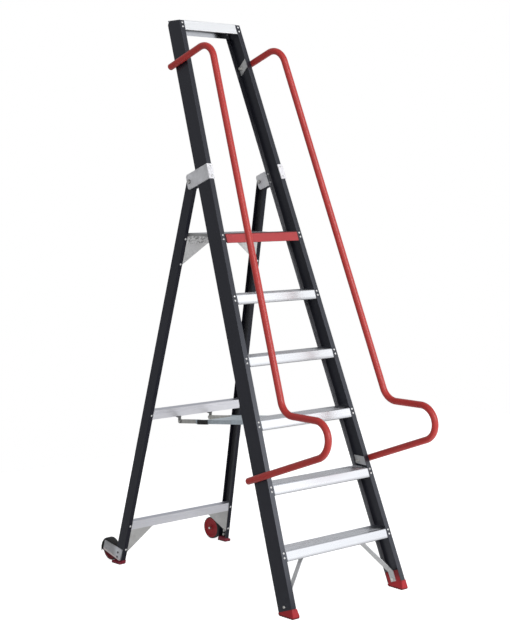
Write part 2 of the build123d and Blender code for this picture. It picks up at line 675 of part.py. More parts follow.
# ---------------------------------------------------------------------------
# Platform deck, its end caps and the ears it turns in
# ---------------------------------------------------------------------------
DECK_Z = (PLATFORM_Z - 15.0, PLATFORM_Z - 3.5)
DECK_Y = (617.5, 803.0)
DECK_HALF = 180.0
CAP_X = 186.0
DECK_AXIS_Z = PLATFORM_Z - 10.0
DECK_PIN_R = 3.0
DECK_AXIS_Y = LEAN * DECK_AXIS_Z + (STILE_D + 14.0) / cl
with BuildPart() as deck:
    with BuildSketch(Plane.YZ):
        with BuildLine():
            ribs = []
            for i in range(22):
                c = DECK_Y[1] - 10 - 7.8 * i
                ribs += [(c + 1.8 - Y_MID, DECK_Z[1]), (c + 1.3 - Y_MID, DECK_Z[1] - 1.2), (c - 1.3 - Y_MID, DECK_Z[1] - 1.2), (c - 1.8 - Y_MID, DECK_Z[1])]
            Polyline((DECK_Y[0] - Y_MID, DECK_Z[0]), (DECK_Y[1] - Y_MID, DECK_Z[0]), (DECK_Y[1] - Y_MID, DECK_Z[1]), *ribs,
                     (DECK_Y[0] - Y_MID, DECK_Z[1]), close=True)
        make_face()
        for i in range(5):
            w = (DECK_Y[1] - DECK_Y[0] - 6 * 2.2) / 5
            with Locations((DECK_Y[0] + 2.2 + w / 2 + i * (w + 2.2) - Y_MID, (DECK_Z[0] + DECK_Z[1]) / 2 - 0.8)):
                Rectangle(w, 6.0, mode=Mode.SUBTRACT)
    extrude(amount=DECK_HALF, both=True)
deck.part.label = "platform_deck"
export_step(deck.part, "parts/platform_deck.step")

with BuildPart() as deck_caps:
    for sx in (-1, 1):
        with BuildSketch(Plane.YZ.offset(sx * DECK_HALF)):
            with Locations(((DECK_Y[0] + DECK_Y[1]) / 2 - Y_MID, (DECK_Z[0] + DECK_Z[1]) / 2)):
                RectangleRounded(DECK_Y[1] - DECK_Y[0], DECK_Z[1] - DECK_Z[0], 2.5)
            with Locations((DECK_AXIS_Y - Y_MID, DECK_AXIS_Z)):
                Circle(DECK_PIN_R + 0.05, mode=Mode.SUBTRACT)
        extrude(amount=sx * (CAP_X - DECK_HALF))
deck_caps.part.label = "deck_caps"
export_step(deck_caps.part, "parts/deck_caps.step")

EAR2_X = (187.0, 190.5)
with BuildPart() as deck_ears:
    for sx in (-1, 1):
        with BuildSketch(Plane.YZ.offset(sx * EAR2_X[0])):
            with BuildLine():
                Polyline(q(LIP_R, PLATFORM_Z - 4), q(LIP_R, PLATFORM_Z - 24), (DECK_AXIS_Y - Y_MID, DECK_AXIS_Z - 6),
                         (DECK_AXIS_Y - Y_MID, DECK_AXIS_Z + 6), close=True)
            make_face()
            with Locations((DECK_AXIS_Y - Y_MID, DECK_AXIS_Z)):
                Circle(6)
                Circle(DECK_PIN_R + 0.02, mode=Mode.SUBTRACT)
        extrude(amount=sx * (EAR2_X[1] - EAR2_X[0]))
        tab = q(LIP_R, PLATFORM_Z - 14)
        with BuildSketch(Plane(origin=(sx * 179, tab[0], tab[1]), x_dir=(1, 0, 0), z_dir=n)):
            Rectangle(23, 20)
        extrude(amount=2.5)
deck_ears.part.label = "deck_ears"
export_step(deck_ears.part, "parts/deck_ears.step")

with BuildPart() as deck_pins:
    for sx in (-1, 1):
        with BuildSketch(Plane.YZ.offset(sx * (DECK_HALF + 0.1))):
            with Locations((DECK_AXIS_Y - Y_MID, DECK_AXIS_Z)):
                Circle(DECK_PIN_R)
        extrude(amount=sx * 12.4)
        with BuildSketch(Plane.YZ.offset(sx * (EAR2_X[1] + 0.05))):
            with Locations((DECK_AXIS_Y - Y_MID, DECK_AXIS_Z)):
                Circle(5.0)
        extrude(amount=sx * 2.0)
deck_pins.part.label = "deck_pins"
export_step(deck_pins.part, "parts/deck_pins.step")

# ---------------------------------------------------------------------------
# Rear legs
# ---------------------------------------------------------------------------
for sx, side in ((-1, "left"), (1, "right")):
    with BuildPart() as leg:
        with BuildSketch(leg_plane(sx, 0, 0, 0)):
            with Locations((LEG_D / 2, sx * LEG_W / 2)):
                RectangleRounded(LEG_D, LEG_W, 1.4)
            with Locations((LEG_D / 2, sx * (LEG_W / 2 + LEG_T))):
                Rectangle(LEG_D - 2 * LEG_T, LEG_W, mode=Mode.SUBTRACT)
        extrude(amount=1800)
        with BuildSketch(Plane.YZ) as leg_side:
            with BuildLine():
                s_p = -(PIVOT_Y - LEG_Y) * sr + PIVOT_Z * cr
                Polyline(qr(-5, LEG_Z0), qr(LEG_D + 5, LEG_Z0), qrs(LEG_D + 5, s_p), qrs(-5, s_p), close=True)
            make_face()
            with Locations((PIVOT_Y - Y_MID, PIVOT_Z)):
                Circle(LEG_D / 2)
        extrude(amount=420, both=True, mode=Mode.INTERSECT)
        with Locations(*[facing(leg_rivet(sx, z), nr) for z in leg_rivet_z]):
            Cylinder(RIVET_HOLE, 8, mode=Mode.SUBTRACT)
        with Locations(Plane(origin=at(sx * 203, PIVOT_Y, PIVOT_Z), z_dir=X)):
            Cylinder(8.02, 24, mode=Mode.SUBTRACT)
        with Locations(*[facing(rp(sx, STRAP_BOLT_D, 1, s), inward_r(sx)) for s in STRAP_BOLT_S]):
            Cylinder(3.1, 8, mode=Mode.SUBTRACT)
    leg.part.label = "rear_leg_" + side
    export_step(leg.part, "parts/rear_leg_" + side + ".step")

with BuildPart() as bushes:
    for sx in (-1, 1):
        xo = leg_x(0, PIVOT_Y, PIVOT_Z) + 1.4
        xi = leg_x(LEG_W, PIVOT_Y, PIVOT_Z) - 0.8
        with BuildSketch(Plane(origin=at(sx * xi, PIVOT_Y, PIVOT_Z), z_dir=X * sx)):
            Circle(8.0)
            Circle(PIVOT_R + 0.05, mode=Mode.SUBTRACT)
        extrude(amount=xo - xi)
bushes.part.label = "hinge_bushes"
export_step(bushes.part, "parts/hinge_bushes.step")

# ---------------------------------------------------------------------------
# Rear cross beams and gussets
# ---------------------------------------------------------------------------
B0 = LEG_T
B_WALL = 2.0
B_DEEP = 25.0
TOP_DEEP = 40.0


def beam_outline(z0, z1):
    """Channel open to the rear with a shallow groove along its face."""
    g = z1 - 13.0
    return [qr(B0, z1), qr(B0, g + 1.5), qr(B0 + 1.0, g + 1.0), qr(B0 + 1.0, g - 1.0), qr(B0, g - 1.5), qr(B0, z0),
            qr(B_DEEP, z0 + (B_DEEP - B0) * sr), qr(B_DEEP, z0 + (B_DEEP - B0) * sr + B_WALL),
            qr(B0 + B_WALL, z0 + B_WALL + 0.6), qr(B0 + B_WALL, z1 - B_WALL + 0.3),
            qr(B_DEEP, z1 + (B_DEEP - B0) * sr - B_WALL), qr(B_DEEP, z1 + (B_DEEP - B0) * sr)]


beams = {"rear_beam_bottom": (152.5, 190.0), "rear_beam_mid": (643.0, 682.5)}
for name, (z0, z1) in beams.items():
    with BuildPart() as beam:
        with BuildSketch(Plane.YZ):
            with BuildLine():
                Polyline(*beam_outline(z0, z1), close=True)
            make_face()
        extrude(amount=LEG_X - LEG_T - TAPER_R * z1 - 1.6, both=True)
        zr = 169.8 if name == "rear_beam_bottom" else 661.3
        for sx in (1, -1):
            with Locations(facing(leg_rivet(sx, zr), nr)):
                Cylinder(RIVET_HOLE, 14, mode=Mode.SUBTRACT)
    beam.part.label = name
    export_step(beam.part, "parts/" + name + ".step")

# upper beam: level top, so the deck lies flat on it
TOPB = (1393.0, DECK_Z[0] - 0.5)
with BuildPart() as beam_top:
    with BuildSketch(Plane.YZ):
        with BuildLine():
            Polyline(qr(B0, TOPB[1]), qr(B0, TOPB[0]), qr(TOP_DEEP, TOPB[0] + 8), qr(TOP_DEEP, TOPB[0] + 10.2), qr(B0 + B_WALL, TOPB[0] + 2.6),
                     qr(B0 + B_WALL, TOPB[1] - 2.2), qr(TOP_DEEP, TOPB[1] - 2.2), qr(TOP_DEEP, TOPB[1]), close=True)
        make_face()
    extrude(amount=LEG_X - LEG_T - TAPER_R * TOPB[1] - 1.6, both=True)
    for sx in (1, -1):
        with Locations(facing(leg_rivet(sx, 1411.9), nr)):
            Cylinder(RIVET_HOLE, 14, mode=Mode.SUBTRACT)
beam_top.part.label = "rear_beam_top"
export_step(beam_top.part, "parts/rear_beam_top.step")

gussets = {"top": (1393.0, 80.0, 1294.0, 1307.3), "bottom": (152.5, 160.0, 38.0, 64.0)}
for pos, (zt, x0, zb, zr) in gussets.items():
    for sx, side in ((-1, "left"), (1, "right")):
        p0 = qr(B0, 0)
        base = Plane(origin=(0, p0[0], 0), x_dir=(1, 0, 0), z_dir=nr)
        up = sqrt(1 + LEAN_R**2)
        xw_t = LEG_X - LEG_T - TAPER_R * zt - 1.5
        xw_b = LEG_X - LEG_T - TAPER_R * zb - 1.5
        with BuildPart() as gusset:
            with BuildSketch(base):
                with BuildLine():
                    Polyline((sx * x0, -zt * up), (sx * xw_t, -zt * up), (sx * xw_b, -(zb + 4) * up), (sx * (xw_b - 6), -(zb + 4) * up), close=True)
                make_face()
            extrude(amount=2.0)
            with BuildSketch(Plane(origin=(0, qr(B0, zt)[0], zt), x_dir=(1, 0, 0), z_dir=(0, -sr, cr))):
                with Locations((sx * (x0 + xw_t) / 2, 0)):
                    Rectangle(xw_t - x0, 2 * 22)
            extrude(amount=-1.8)
            with BuildSketch(Plane.YZ):
                with BuildLine():
                    Polyline(qr(B0, zt), qr(B0, zb - 30), qr(B0 + 60, zb - 30), qr(B0 + 60, zt + 60 * (sr if pos == "bottom" else 8.0 / 38.0 * cr)), close=True)
                make_face()
            extrude(amount=420, both=True, mode=Mode.INTERSECT)
            with Locations(facing(leg_rivet(sx, zr), nr)):
                Cylinder(RIVET_HOLE, 14, mode=Mode.SUBTRACT)
        gusset.part.label = "gusset_" + pos + "_" + side
        export_step(gusset.part, "parts/gusset_" + pos + "_" + side + ".step")

# lugs under the middle beam and their pins
MID_Z = beams["rear_beam_mid"][0]
with BuildPart() as lugs:
    for sx in (-1, 1):
        with BuildSketch(Plane.YZ.offset(sx * LUG_X[0])):
            with BuildLine():
                Polyline(qr(B0 + 2, MID_Z + 1.6 * sr), qr(B0 + 2, MID_Z - 4), (BAIL_Y - 8 - Y_MID, BAIL_Z), (BAIL_Y + 8 - Y_MID, BAIL_Z),
                         qr(B_DEEP - 2, MID_Z + (B_DEEP - 3 - B0) * sr - 0.3), close=True)
            make_face()
            with Locations((BAIL_Y - Y_MID, BAIL_Z)):
                Circle(8)
                Circle(4.02, mode=Mode.SUBTRACT)
        extrude(amount=sx * (LUG_X[1] - LUG_X[0]))
        with BuildSketch(Plane.YZ.offset(sx * (LUG_X[0] + LUG_X[1]) / 2 - 1.5)):
            with BuildLine():
                Polyline(qr(B0 + 1, MID_Z + 0.8 * sr), qr(B0 + 1, MID_Z + 0.8 * sr - 6), qr(B_DEEP - 2, MID_Z + (B_DEEP - 3 - B0) * sr - 6.3),
                         qr(B_DEEP - 2, MID_Z + (B_DEEP - 3 - B0) * sr - 0.3), close=True)
            make_face()
        extrude(amount=-19)
lugs.part.label = "stay_lugs"
export_step(lugs.part, "parts/stay_lugs.step")

with BuildPart() as lug_pins:
    for sx in (-1, 1):
        with BuildSketch(Plane.YZ.offset(sx * (BAIL_X[0] - 3))):
            with Locations((BAIL_Y - Y_MID, BAIL_Z)):
                Circle(4.0)
        extrude(amount=sx * 13)
        with BuildSketch(Plane.YZ.offset(sx * (BAIL_X[0] - 0.6))):
            with Locations((BAIL_Y - Y_MID, BAIL_Z)):
                Circle(6.0)
        extrude(amount=-sx * 2.4)
        with BuildSketch(Plane.YZ.offset(sx * (LUG_X[1] + 0.05))):
            with Locations((BAIL_Y - Y_MID, BAIL_Z)):
                Circle(6.0)
        extrude(amount=sx * 2.0)
lug_pins.part.label = "lug_pins"
export_step(lug_pins.part, "parts/lug_pins.step")

# ---------------------------------------------------------------------------
# Rear feet
# ---------------------------------------------------------------------------
for sx, side in ((-1, "left"), (1, "right")):
    with BuildPart() as rfoot:
        with BuildSketch(leg_web_plane(sx, 0, LEG_W + 1.0, 0)):
            with BuildLine():
                Polyline((-1.4, 40), (-1.4, -30), (LEG_D, -30), (LEG_D, 40), close=True)
            make_face()
        extrude(amount=sx * (LEG_W + 1.0 - 0.1))
        with BuildSketch(Plane.XY) as pad:
            with Locations((sx * 305.5, 1121 - Y_MID)):
                RectangleRounded(27, 58, 3)
        extrude(amount=10)
        with BuildSketch(Plane.YZ.offset(sx * 300)):
            with BuildLine():
                Polyline((1090 - Y_MID, 0), (1148.5 - Y_MID, 0), (1150.5 - Y_MID, 2), (1150.5 - Y_MID, 10), qr(LEG_D + 0.5, LEG_Z0), qr(-1.4, LEG_Z0), (1089 - Y_MID, 6), close=True)
            make_face()
        extrude(amount=60, both=True, mode=Mode.INTERSECT)
        with BuildSketch(Plane.YZ.offset(sx * (leg_x(LEG_T, LEG_Y + 25, LEG_Z0 + 4) - 0.4))):
            with BuildLine():
                Polyline(qr(LEG_T + 0.8, LEG_Z0 - 2), qr(LEG_D - LEG_T - 0.8, LEG_Z0 - 2), qr(LEG_D - LEG_T - 0.8, LEG_Z0 + 3.2), qr(LEG_T + 0.8, LEG_Z0 + 3.2), close=True)
            make_face()
        extrude(amount=-sx * 16)
    rfoot.part.label = "rear_foot_" + side
    export_step(rfoot.part, "parts/rear_foot_" + side + ".step")

# ---------------------------------------------------------------------------
# Wheels behind the rear legs
# ---------------------------------------------------------------------------
W_D = (WHEEL_Y - LEG_Y) * cr + WHEEL_Z * sr
W_S = -(WHEEL_Y - LEG_Y) * sr + WHEEL_Z * cr
WHEEL_X = (280.0, 299.4)
STRAP_T = 3.0
STRAP_END = W_D + 33.0
STRAP_LOW = 17.4
AXLE_R = 6.0
for sx, side in ((-1, "left"), (1, "right")):
    with BuildPart() as strap:
        with BuildSketch(leg_web_plane(sx, 0, 0, 0)) as strap_outline:
            with BuildLine():
                Polyline((9, 12.0), (STRAP_END, STRAP_LOW), (STRAP_END, 57.7), (9, 63), close=True)
            make_face()
            fillet(strap_outline.vertices().sort_by(Axis.X)[-2:], 4.0)
        extrude(amount=sx * STRAP_T)
        with BuildSketch(leg_web_plane(sx, 0, 0, 0)):
            with BuildLine():
                Polyline((9, 12.0), (11.4, 12.1), (11.4, 62.9), (9, 63), close=True)
            make_face()
        extrude(amount=sx * 6.5)
        low_a, low_b = rp(sx, 9, 0, 12.0 / K_R), rp(sx, STRAP_END - 5, 0, (STRAP_LOW - 0.2) / K_R)
        with BuildSketch(Plane(origin=low_a, x_dir=inward_r(sx) * -1, z_dir=low_b - low_a)):
            with BuildLine():
                Polyline((0.5, 0), (6.5, 0), (6.5, -sx * 0.8), (STRAP_T, -sx * 3.5), (0.5, -sx * 3.5), close=True)
            make_face()
        extrude(amount=(low_b - low_a).length)
        with Locations(*[facing(rp(sx, STRAP_BOLT_D, -1, s), inward_r(sx)) for s in STRAP_BOLT_S]):
            Cylinder(3.1, 12, mode=Mode.SUBTRACT)
        with Locations(Plane(origin=at(sx * 306, WHEEL_Y, WHEEL_Z), z_dir=X)):
            Cylinder(AXLE_R + 0.02, 40, mode=Mode.SUBTRACT)
    strap.part.label = "wheel_strap_" + side
    export_step(strap.part, "parts/wheel_strap_" + side + ".step")

    with BuildPart() as guard:
        with BuildSketch(leg_web_plane(sx, 0, 0, 0)):
            with Locations((W_D, W_S * K_R)):
                Circle(WHEEL_R - 0.5)
            with Locations((W_D, W_S * K_R + 34.5)):
                Rectangle(140, 109, mode=Mode.INTERSECT)
            with Locations((LEG_D / 2, 50)):
                Rectangle(LEG_D + 1.0, 200, mode=Mode.SUBTRACT)
            with Locations((W_D, W_S * K_R)):
                Circle(9.5, mode=Mode.SUBTRACT)
        extrude(amount=-sx * 1.4)
        with BuildSketch(leg_web_plane(sx, 0, 0, 0)):
            with Locations((W_D, W_S * K_R)):
                Circle(WHEEL_R - 0.5)
                Circle(WHEEL_R - 2.2, mode=Mode.SUBTRACT)
            with Locations((W_D, W_S * K_R + 31.5)):
                Rectangle(140, 115, mode=Mode.INTERSECT)
            with Locations((LEG_D / 2, 50)):
                Rectangle(LEG_D + 1.0, 200, mode=Mode.SUBTRACT)
            with Locations((W_D / 2, 34)):
                Rectangle(W_D, 68, mode=Mode.SUBTRACT)
        extrude(amount=sx * 3)
    guard.part.label = "wheel_guard_" + side
    export_step(guard.part, "parts/wheel_guard_" + side + ".step")

    with BuildPart() as wheel:
        with BuildSketch(Plane.YZ.offset(sx * WHEEL_X[0])):
            with Locations((WHEEL_Y - Y_MID, WHEEL_Z)):
                Circle(WHEEL_R - 2.6)
                Circle(AXLE_R + 0.06, mode=Mode.SUBTRACT)
        extrude(amount=sx * (WHEEL_X[1] - WHEEL_X[0]))
        for xa, aa in ((WHEEL_X[0], 4.0), (WHEEL_X[1], -4.0)):
            with BuildSketch(Plane.YZ.offset(sx * xa)):
                with Locations((WHEEL_Y - Y_MID, WHEEL_Z)):
                    Circle(38.0)
                    Circle(14.0, mode=Mode.SUBTRACT)
            extrude(amount=sx * aa, mode=Mode.SUBTRACT)
    wheel.part.label = "wheel_" + side
    export_step(wheel.part, "parts/wheel_" + side + ".step")

    with BuildPart() as tyre:
        with BuildSketch(Plane.YZ.offset(sx * (WHEEL_X[0] + 0.5))):
            with Locations((WHEEL_Y - Y_MID, WHEEL_Z)):
                Circle(WHEEL_R)
                Circle(WHEEL_R - 2.58, mode=Mode.SUBTRACT)
        extrude(amount=sx * (WHEEL_X[1] - WHEEL_X[0] - 1.0))
    tyre.part.label = "tyre_" + side
    export_step(tyre.part, "parts/tyre_" + side + ".step")

with BuildPart() as axles:
    for sx in (-1, 1):
        x_strap = leg_x(0, WHEEL_Y, WHEEL_Z)
        with BuildSketch(Plane(origin=at(sx * (WHEEL_X[0] - 8.0), WHEEL_Y, WHEEL_Z), z_dir=X * sx)):
            Circle(AXLE_R)
        extrude(amount=x_strap + STRAP_T + 0.6 - WHEEL_X[0] + 8.0)
        with BuildSketch(Plane(origin=at(sx * (WHEEL_X[0] - 0.5), WHEEL_Y, WHEEL_Z), z_dir=X * sx)):
            Circle(6.8)
        extrude(amount=-1.6)
        with BuildSketch(Plane(origin=at(sx * (WHEEL_X[0] - 8.0), WHEEL_Y, WHEEL_Z), z_dir=X * -sx)):
            Circle(AXLE_R)
        extrude(amount=1.5, taper=35)
        with BuildSketch(Plane(origin=at(sx * x_strap, WHEEL_Y, WHEEL_Z) - inward_r(sx) * (STRAP_T + 0.02), z_dir=inward_r(sx) * -1)):
            Circle(8.0)
        extrude(amount=1.2)
axles.part.label = "wheel_axles"
export_step(axles.part, "parts/wheel_axles.step")

with BuildPart() as strap_bolts:
    for sx in (-1, 1):
        for s in STRAP_BOLT_S:
            with BuildSketch(Plane(origin=rp(sx, STRAP_BOLT_D, -STRAP_T, s), x_dir=nr, z_dir=inward_r(sx) * -1)):
                Circle(4.4)
            extrude(amount=3.0, taper=25)
            with BuildSketch(Plane(origin=rp(sx, STRAP_BOLT_D, -STRAP_T - 0.5, s), x_dir=nr, z_dir=inward_r(sx))):
                Circle(3.0)
            extrude(amount=STRAP_T + 0.5 + LEG_T + 6)
            with BuildSketch(Plane(origin=rp(sx, STRAP_BOLT_D, LEG_T + 0.05, s), x_dir=nr, z_dir=inward_r(sx))):
                RegularPolygon(6.6, 6)
            extrude(amount=4.5)
strap_bolts.part.label = "strap_bolts"
export_step(strap_bolts.part, "parts/strap_bolts.step")

# ---------------------------------------------------------------------------
# Rivets
# ---------------------------------------------------------------------------
with BuildPart() as front_rivets:
    for sx in (-1, 1):
        with Locations(*[facing(p, n * -1) for p in front_points[sx]]):
            Cone(4.6, 2.9, 1.9, align=(Align.CENTER, Align.CENTER, Align.MIN))
            Cylinder(RIVET_R, 5.6, align=(Align.CENTER, Align.CENTER, Align.MAX))
        with Locations(*[facing(p + n * (LIP_F + T_WALL + 0.02), n) for p in front_points[sx]]):
            Cylinder(3.6, 1.6, align=(Align.CENTER, Align.CENTER, Align.MIN))
        with Locations(*[facing(p, n) for p in rear_points[sx]]):
            Cone(4.6, 2.9, 1.9, align=(Align.CENTER, Align.CENTER, Align.MIN))
            Cylinder(RIVET_R, 5.6, align=(Align.CENTER, Align.CENTER, Align.MAX))
        with Locations(*[facing(p - n * (STILE_T + T_WALL + 0.02), n * -1) for p in rear_points[sx]]):
            Cylinder(3.6, 1.6, align=(Align.CENTER, Align.CENTER, Align.MIN))
        with Locations(*[facing(p - n * PLATE_T, n * -1) for p in bracket_front[sx]]):
            Cone(4.6, 2.9, 1.9, align=(Align.CENTER, Align.CENTER, Align.MIN))
            Cylinder(RIVET_R, PLATE_T + STILE_T + 0.5, align=(Align.CENTER, Align.CENTER, Align.MAX))
        with Locations(*[facing(p + n * (STILE_T + 0.02), n) for p in bracket_front[sx]]):
            Cylinder(3.6, 1.6, align=(Align.CENTER, Align.CENTER, Align.MIN))
        with Locations(*[facing(p - n * STILE_T, n * -1) for p in bracket_rear[sx]]):
            Cone(4.6, 2.9, 1.9, align=(Align.CENTER, Align.CENTER, Align.MIN))
            Cylinder(RIVET_R, STILE_T + 3.5 + 0.5, align=(Align.CENTER, Align.CENTER, Align.MAX))
        with Locations(*[facing(p + n * 3.02, n) for p in bracket_rear[sx]]):
            Cylinder(3.6, 1.6, align=(Align.CENTER, Align.CENTER, Align.MIN))
front_rivets.part.label = "front_rivets"
export_step(front_rivets.part, "parts/front_rivets.step")

with BuildPart() as leg_rivets:
    for sx in (-1, 1):
        with Locations(*[facing(leg_rivet(sx, z), nr * -1) for z in leg_rivet_z]):
            Cone(4.6, 2.9, 1.9, align=(Align.CENTER, Align.CENTER, Align.MIN))
            Cylinder(RIVET_R, LEG_T + 2.0 + 0.5, align=(Align.CENTER, Align.CENTER, Align.MAX))
        with Locations(*[facing(leg_rivet(sx, z) + nr * (LEG_T + 2.0 + 0.02), nr) for z in leg_rivet_z]):
            Cylinder(3.6, 1.6, align=(Align.CENTER, Align.CENTER, Align.MIN))
leg_rivets.part.label = "leg_rivets"
export_step(leg_rivets.part, "parts/leg_rivets.step")
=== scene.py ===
import math
import bpy
import bmesh
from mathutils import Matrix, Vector


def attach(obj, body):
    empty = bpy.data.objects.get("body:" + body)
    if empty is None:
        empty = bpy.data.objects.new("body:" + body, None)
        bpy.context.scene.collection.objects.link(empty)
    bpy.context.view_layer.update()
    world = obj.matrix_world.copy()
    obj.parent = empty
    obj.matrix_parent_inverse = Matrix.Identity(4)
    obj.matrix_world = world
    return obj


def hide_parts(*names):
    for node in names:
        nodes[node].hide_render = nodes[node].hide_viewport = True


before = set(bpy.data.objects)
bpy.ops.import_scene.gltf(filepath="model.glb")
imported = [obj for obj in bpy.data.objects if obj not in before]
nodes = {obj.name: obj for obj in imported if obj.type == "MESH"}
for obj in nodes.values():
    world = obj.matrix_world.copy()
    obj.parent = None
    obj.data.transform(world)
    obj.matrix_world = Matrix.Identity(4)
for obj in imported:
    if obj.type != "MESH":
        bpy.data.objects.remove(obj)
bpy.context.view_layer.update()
scene = bpy.context.scene

# ---------------------------------------------------------------------------
# Camera
# ---------------------------------------------------------------------------
cam_data = bpy.data.cameras.new("camera")
cam = bpy.data.objects.new("camera", cam_data)
scene.collection.objects.link(cam)
yaw, pitch = 0.7359358, -0.0938925
fwd = Vector((math.sin(yaw) * math.cos(pitch), math.cos(yaw) * math.cos(pitch), math.sin(pitch)))
cam.location = (-4.0604, -3.9107575 - 0.53463, 1.6439)
cam.rotation_mode = "QUATERNION"
cam.rotation_quaternion = fwd.to_track_quat("-Z", "Y")
cam_data.sensor_fit = "AUTO"
cam_data.sensor_width = 36.0
cam_data.lens = 1468.533 / 642.0 * 36.0
cam_data.clip_end = 100
scene.camera = cam

# ---------------------------------------------------------------------------
# The frame's own geometry (mm), so that the modelled pieces land on it
# ---------------------------------------------------------------------------
MM = 0.001
Y_MID = 534.63
LEAN, TAPER, STILE_X, STILE_D, STILE_W, STILE_T = 0.3692, 0.0670, 320.6, 79.0, 24.0, 2.5
TOP_Z, PITCH, TREADS = 2313.0, 240.0, 5
LEAN_R, TAPER_R, LEG_X, LEG_D, LEG_W, LEG_T, LEG_Y = 0.2308, 0.0632, 307.6, 50.0, 20.0, 2.0, 1095.1
RIVET_X, LEG_RIVET_X = 307.9, 297.3
TUBE_R, TUBE_T, RAIL_BEND = 13.75, 1.8, 71.5
WHEEL_Y, WHEEL_Z, WHEEL_R = 1187.5, 50.8, 50.0
PIVOT_Z = 1648.0
lam, rho = math.atan(LEAN), math.atan(LEAN_R)
cl, sl, cr, sr = math.cos(lam), math.sin(lam), math.cos(rho), math.sin(rho)
PIVOT_Y = LEG_Y - LEAN_R * PIVOT_Z + (LEG_D / 2) / cr
N = Vector((0, cl, -sl))
NR = Vector((0, cr, sr))
EX = Vector((1, 0, 0))
K = math.sqrt(1 + LEAN**2 + TAPER**2) * cl
K_R = math.sqrt(1 + LEAN_R**2 + TAPER_R**2) * cr


def at(x, y, z):
    return Vector((x, y - Y_MID, z))


def along(sx):
    return Vector((-sx * TAPER, LEAN, 1)).normalized()


def inward(sx):
    return along(sx).cross(N) * sx


def along_r(sx):
    return Vector((-sx * TAPER_R, -LEAN_R, 1)).normalized()


def inward_r(sx):
    return along_r(sx).cross(NR) * sx


def sp(sx, d, w, s):
    return at(sx * STILE_X, 0, 0) + N * d + inward(sx) * w + along(sx) * (s * K)


def rp(sx, d, w, s):
    return at(sx * LEG_X, LEG_Y, 0) + NR * d + inward_r(sx) * w + along_r(sx) * (s * K_R)


# ---------------------------------------------------------------------------
# Mesh helpers
# ---------------------------------------------------------------------------


class Build:
    """Collects closed shells, in millimetres, into one object."""

    def __init__(self, name):
        self.name = name
        self.verts = []
        self.faces = []

    def ring_shell(self, rings, closed_loop=False):
        """Skins a list of rings; the ends are capped unless the rings close on themselves."""
        base = len(self.verts)
        m = len(rings[0])
        for r in rings:
            self.verts.extend(r)
        count = len(rings)
        pairs = range(count) if closed_loop else range(count - 1)
        for i in pairs:
            a, b = base + i * m, base + ((i + 1) % count) * m
            for j in range(m):
                k = (j + 1) % m
                self.faces.append((a + j, a + k, b + k, b + j))
        if not closed_loop:
            self.faces.append(tuple(base + j for j in range(m - 1, -1, -1)))
            last = base + (count - 1) * m
            self.faces.append(tuple(last + j for j in range(m)))

    def lathe(self, origin, axis, profile, seg=32, ref=None, shape=None):
        """Turns (distance along axis, radius) points about the axis.

        A radius of 0 at either end closes the shell in a point.  shape maps
        (index of the profile point, angle, radius) to a radius.
        """
        axis = axis.normalized()
        ref = ref or (EX if abs(axis.x) < 0.9 else Vector((0, 0, 1)))
        u = (ref - axis * ref.dot(axis)).normalized()
        v = axis.cross(u)
        base = len(self.verts)
        idx = []
        for i, (x, r) in enumerate(profile):
            c = origin + axis * x
            if r <= 1e-6:
                idx.append([len(self.verts)])
                self.verts.append(c)
                continue
            row = []
            for j in range(seg):
                t = 2 * math.pi * j / seg
                rr = shape(i, t, r) if shape else r
                row.append(len(self.verts))
                self.verts.append(c + (u * math.cos(t) + v * math.sin(t)) * rr)
            idx.append(row)
        for a, b in zip(idx, idx[1:]):
            for j in range(seg):
                k = (j + 1) % seg
                if len(a) == 1 and len(b) == 1:
                    continue
                if len(a) == 1:
                    self.faces.append((a[0], b[k], b[j]))
                elif len(b) == 1:
                    self.faces.append((a[j], a[k], b[0]))
                else:
                    self.faces.append((a[j], a[k], b[k], b[j]))
        return base

    def lathe_loop(self, origin, axis, profile, seg=64):
        """Turns a closed (x, r) loop about the axis."""
        axis = axis.normalized()
        ref = EX if abs(axis.x) < 0.9 else Vector((0, 0, 1))
        u = (ref - axis * ref.dot(axis)).normalized()
        v = axis.cross(u)
        base = len(self.verts)
        m = len(profile)
        for j in range(seg):
            t = 2 * math.pi * j / seg
            e = u * math.cos(t) + v * math.sin(t)
            for x, r in profile:
                self.verts.append(origin + axis * x + e * r)
        for j in range(seg):
            k = (j + 1) % seg
            for i in range(m):
                h = (i + 1) % m
                self.faces.append((base + j * m + i, base + j * m + h, base + k * m + h, base + k * m + i))

    def make(self, angle=35.0):
        mesh = bpy.data.meshes.new(self.name)
        mesh.from_pydata([tuple(v * MM) for v in self.verts], [], self.faces)
        bm = bmesh.new()
        bm.from_mesh(mesh)
        bmesh.ops.recalc_face_normals(bm, faces=bm.faces)
        limit = math.radians(angle)
        for f in bm.faces:
            f.smooth = True
        for e in bm.edges:
            e.smooth = len(e.link_faces) == 2 and e.calc_face_angle(0.0) < limit
        bm.to_mesh(mesh)
        bm.free()
        o = bpy.data.objects.new(self.name, mesh)
        scene.collection.objects.link(o)
        return o


def stands_for(o, body, slot, *names):
    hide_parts(*names)
    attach(o, body)
    return o


def hex_radius(circum, t):
    a = math.radians(30)
    w = (t % (2 * a)) - a
    return circum * math.cos(a) / math.cos(w)


def nut(build, origin, axis, ref, circum, height, hole=0.0):
    """Hexagon with both ends turned down."""
    flat = circum * math.cos(math.radians(30))

    def shape(i, t, r):
        return min(hex_radius(circum, t), r)

    build.lathe(origin, axis, [(0, 0), (0, flat * 0.96), (0.7, circum), (height - 0.7, circum), (height, flat * 0.96), (height, 0)],
                48, ref, lambda i, t, r: min(hex_radius(circum, t), r) if i in (2, 3) else r)


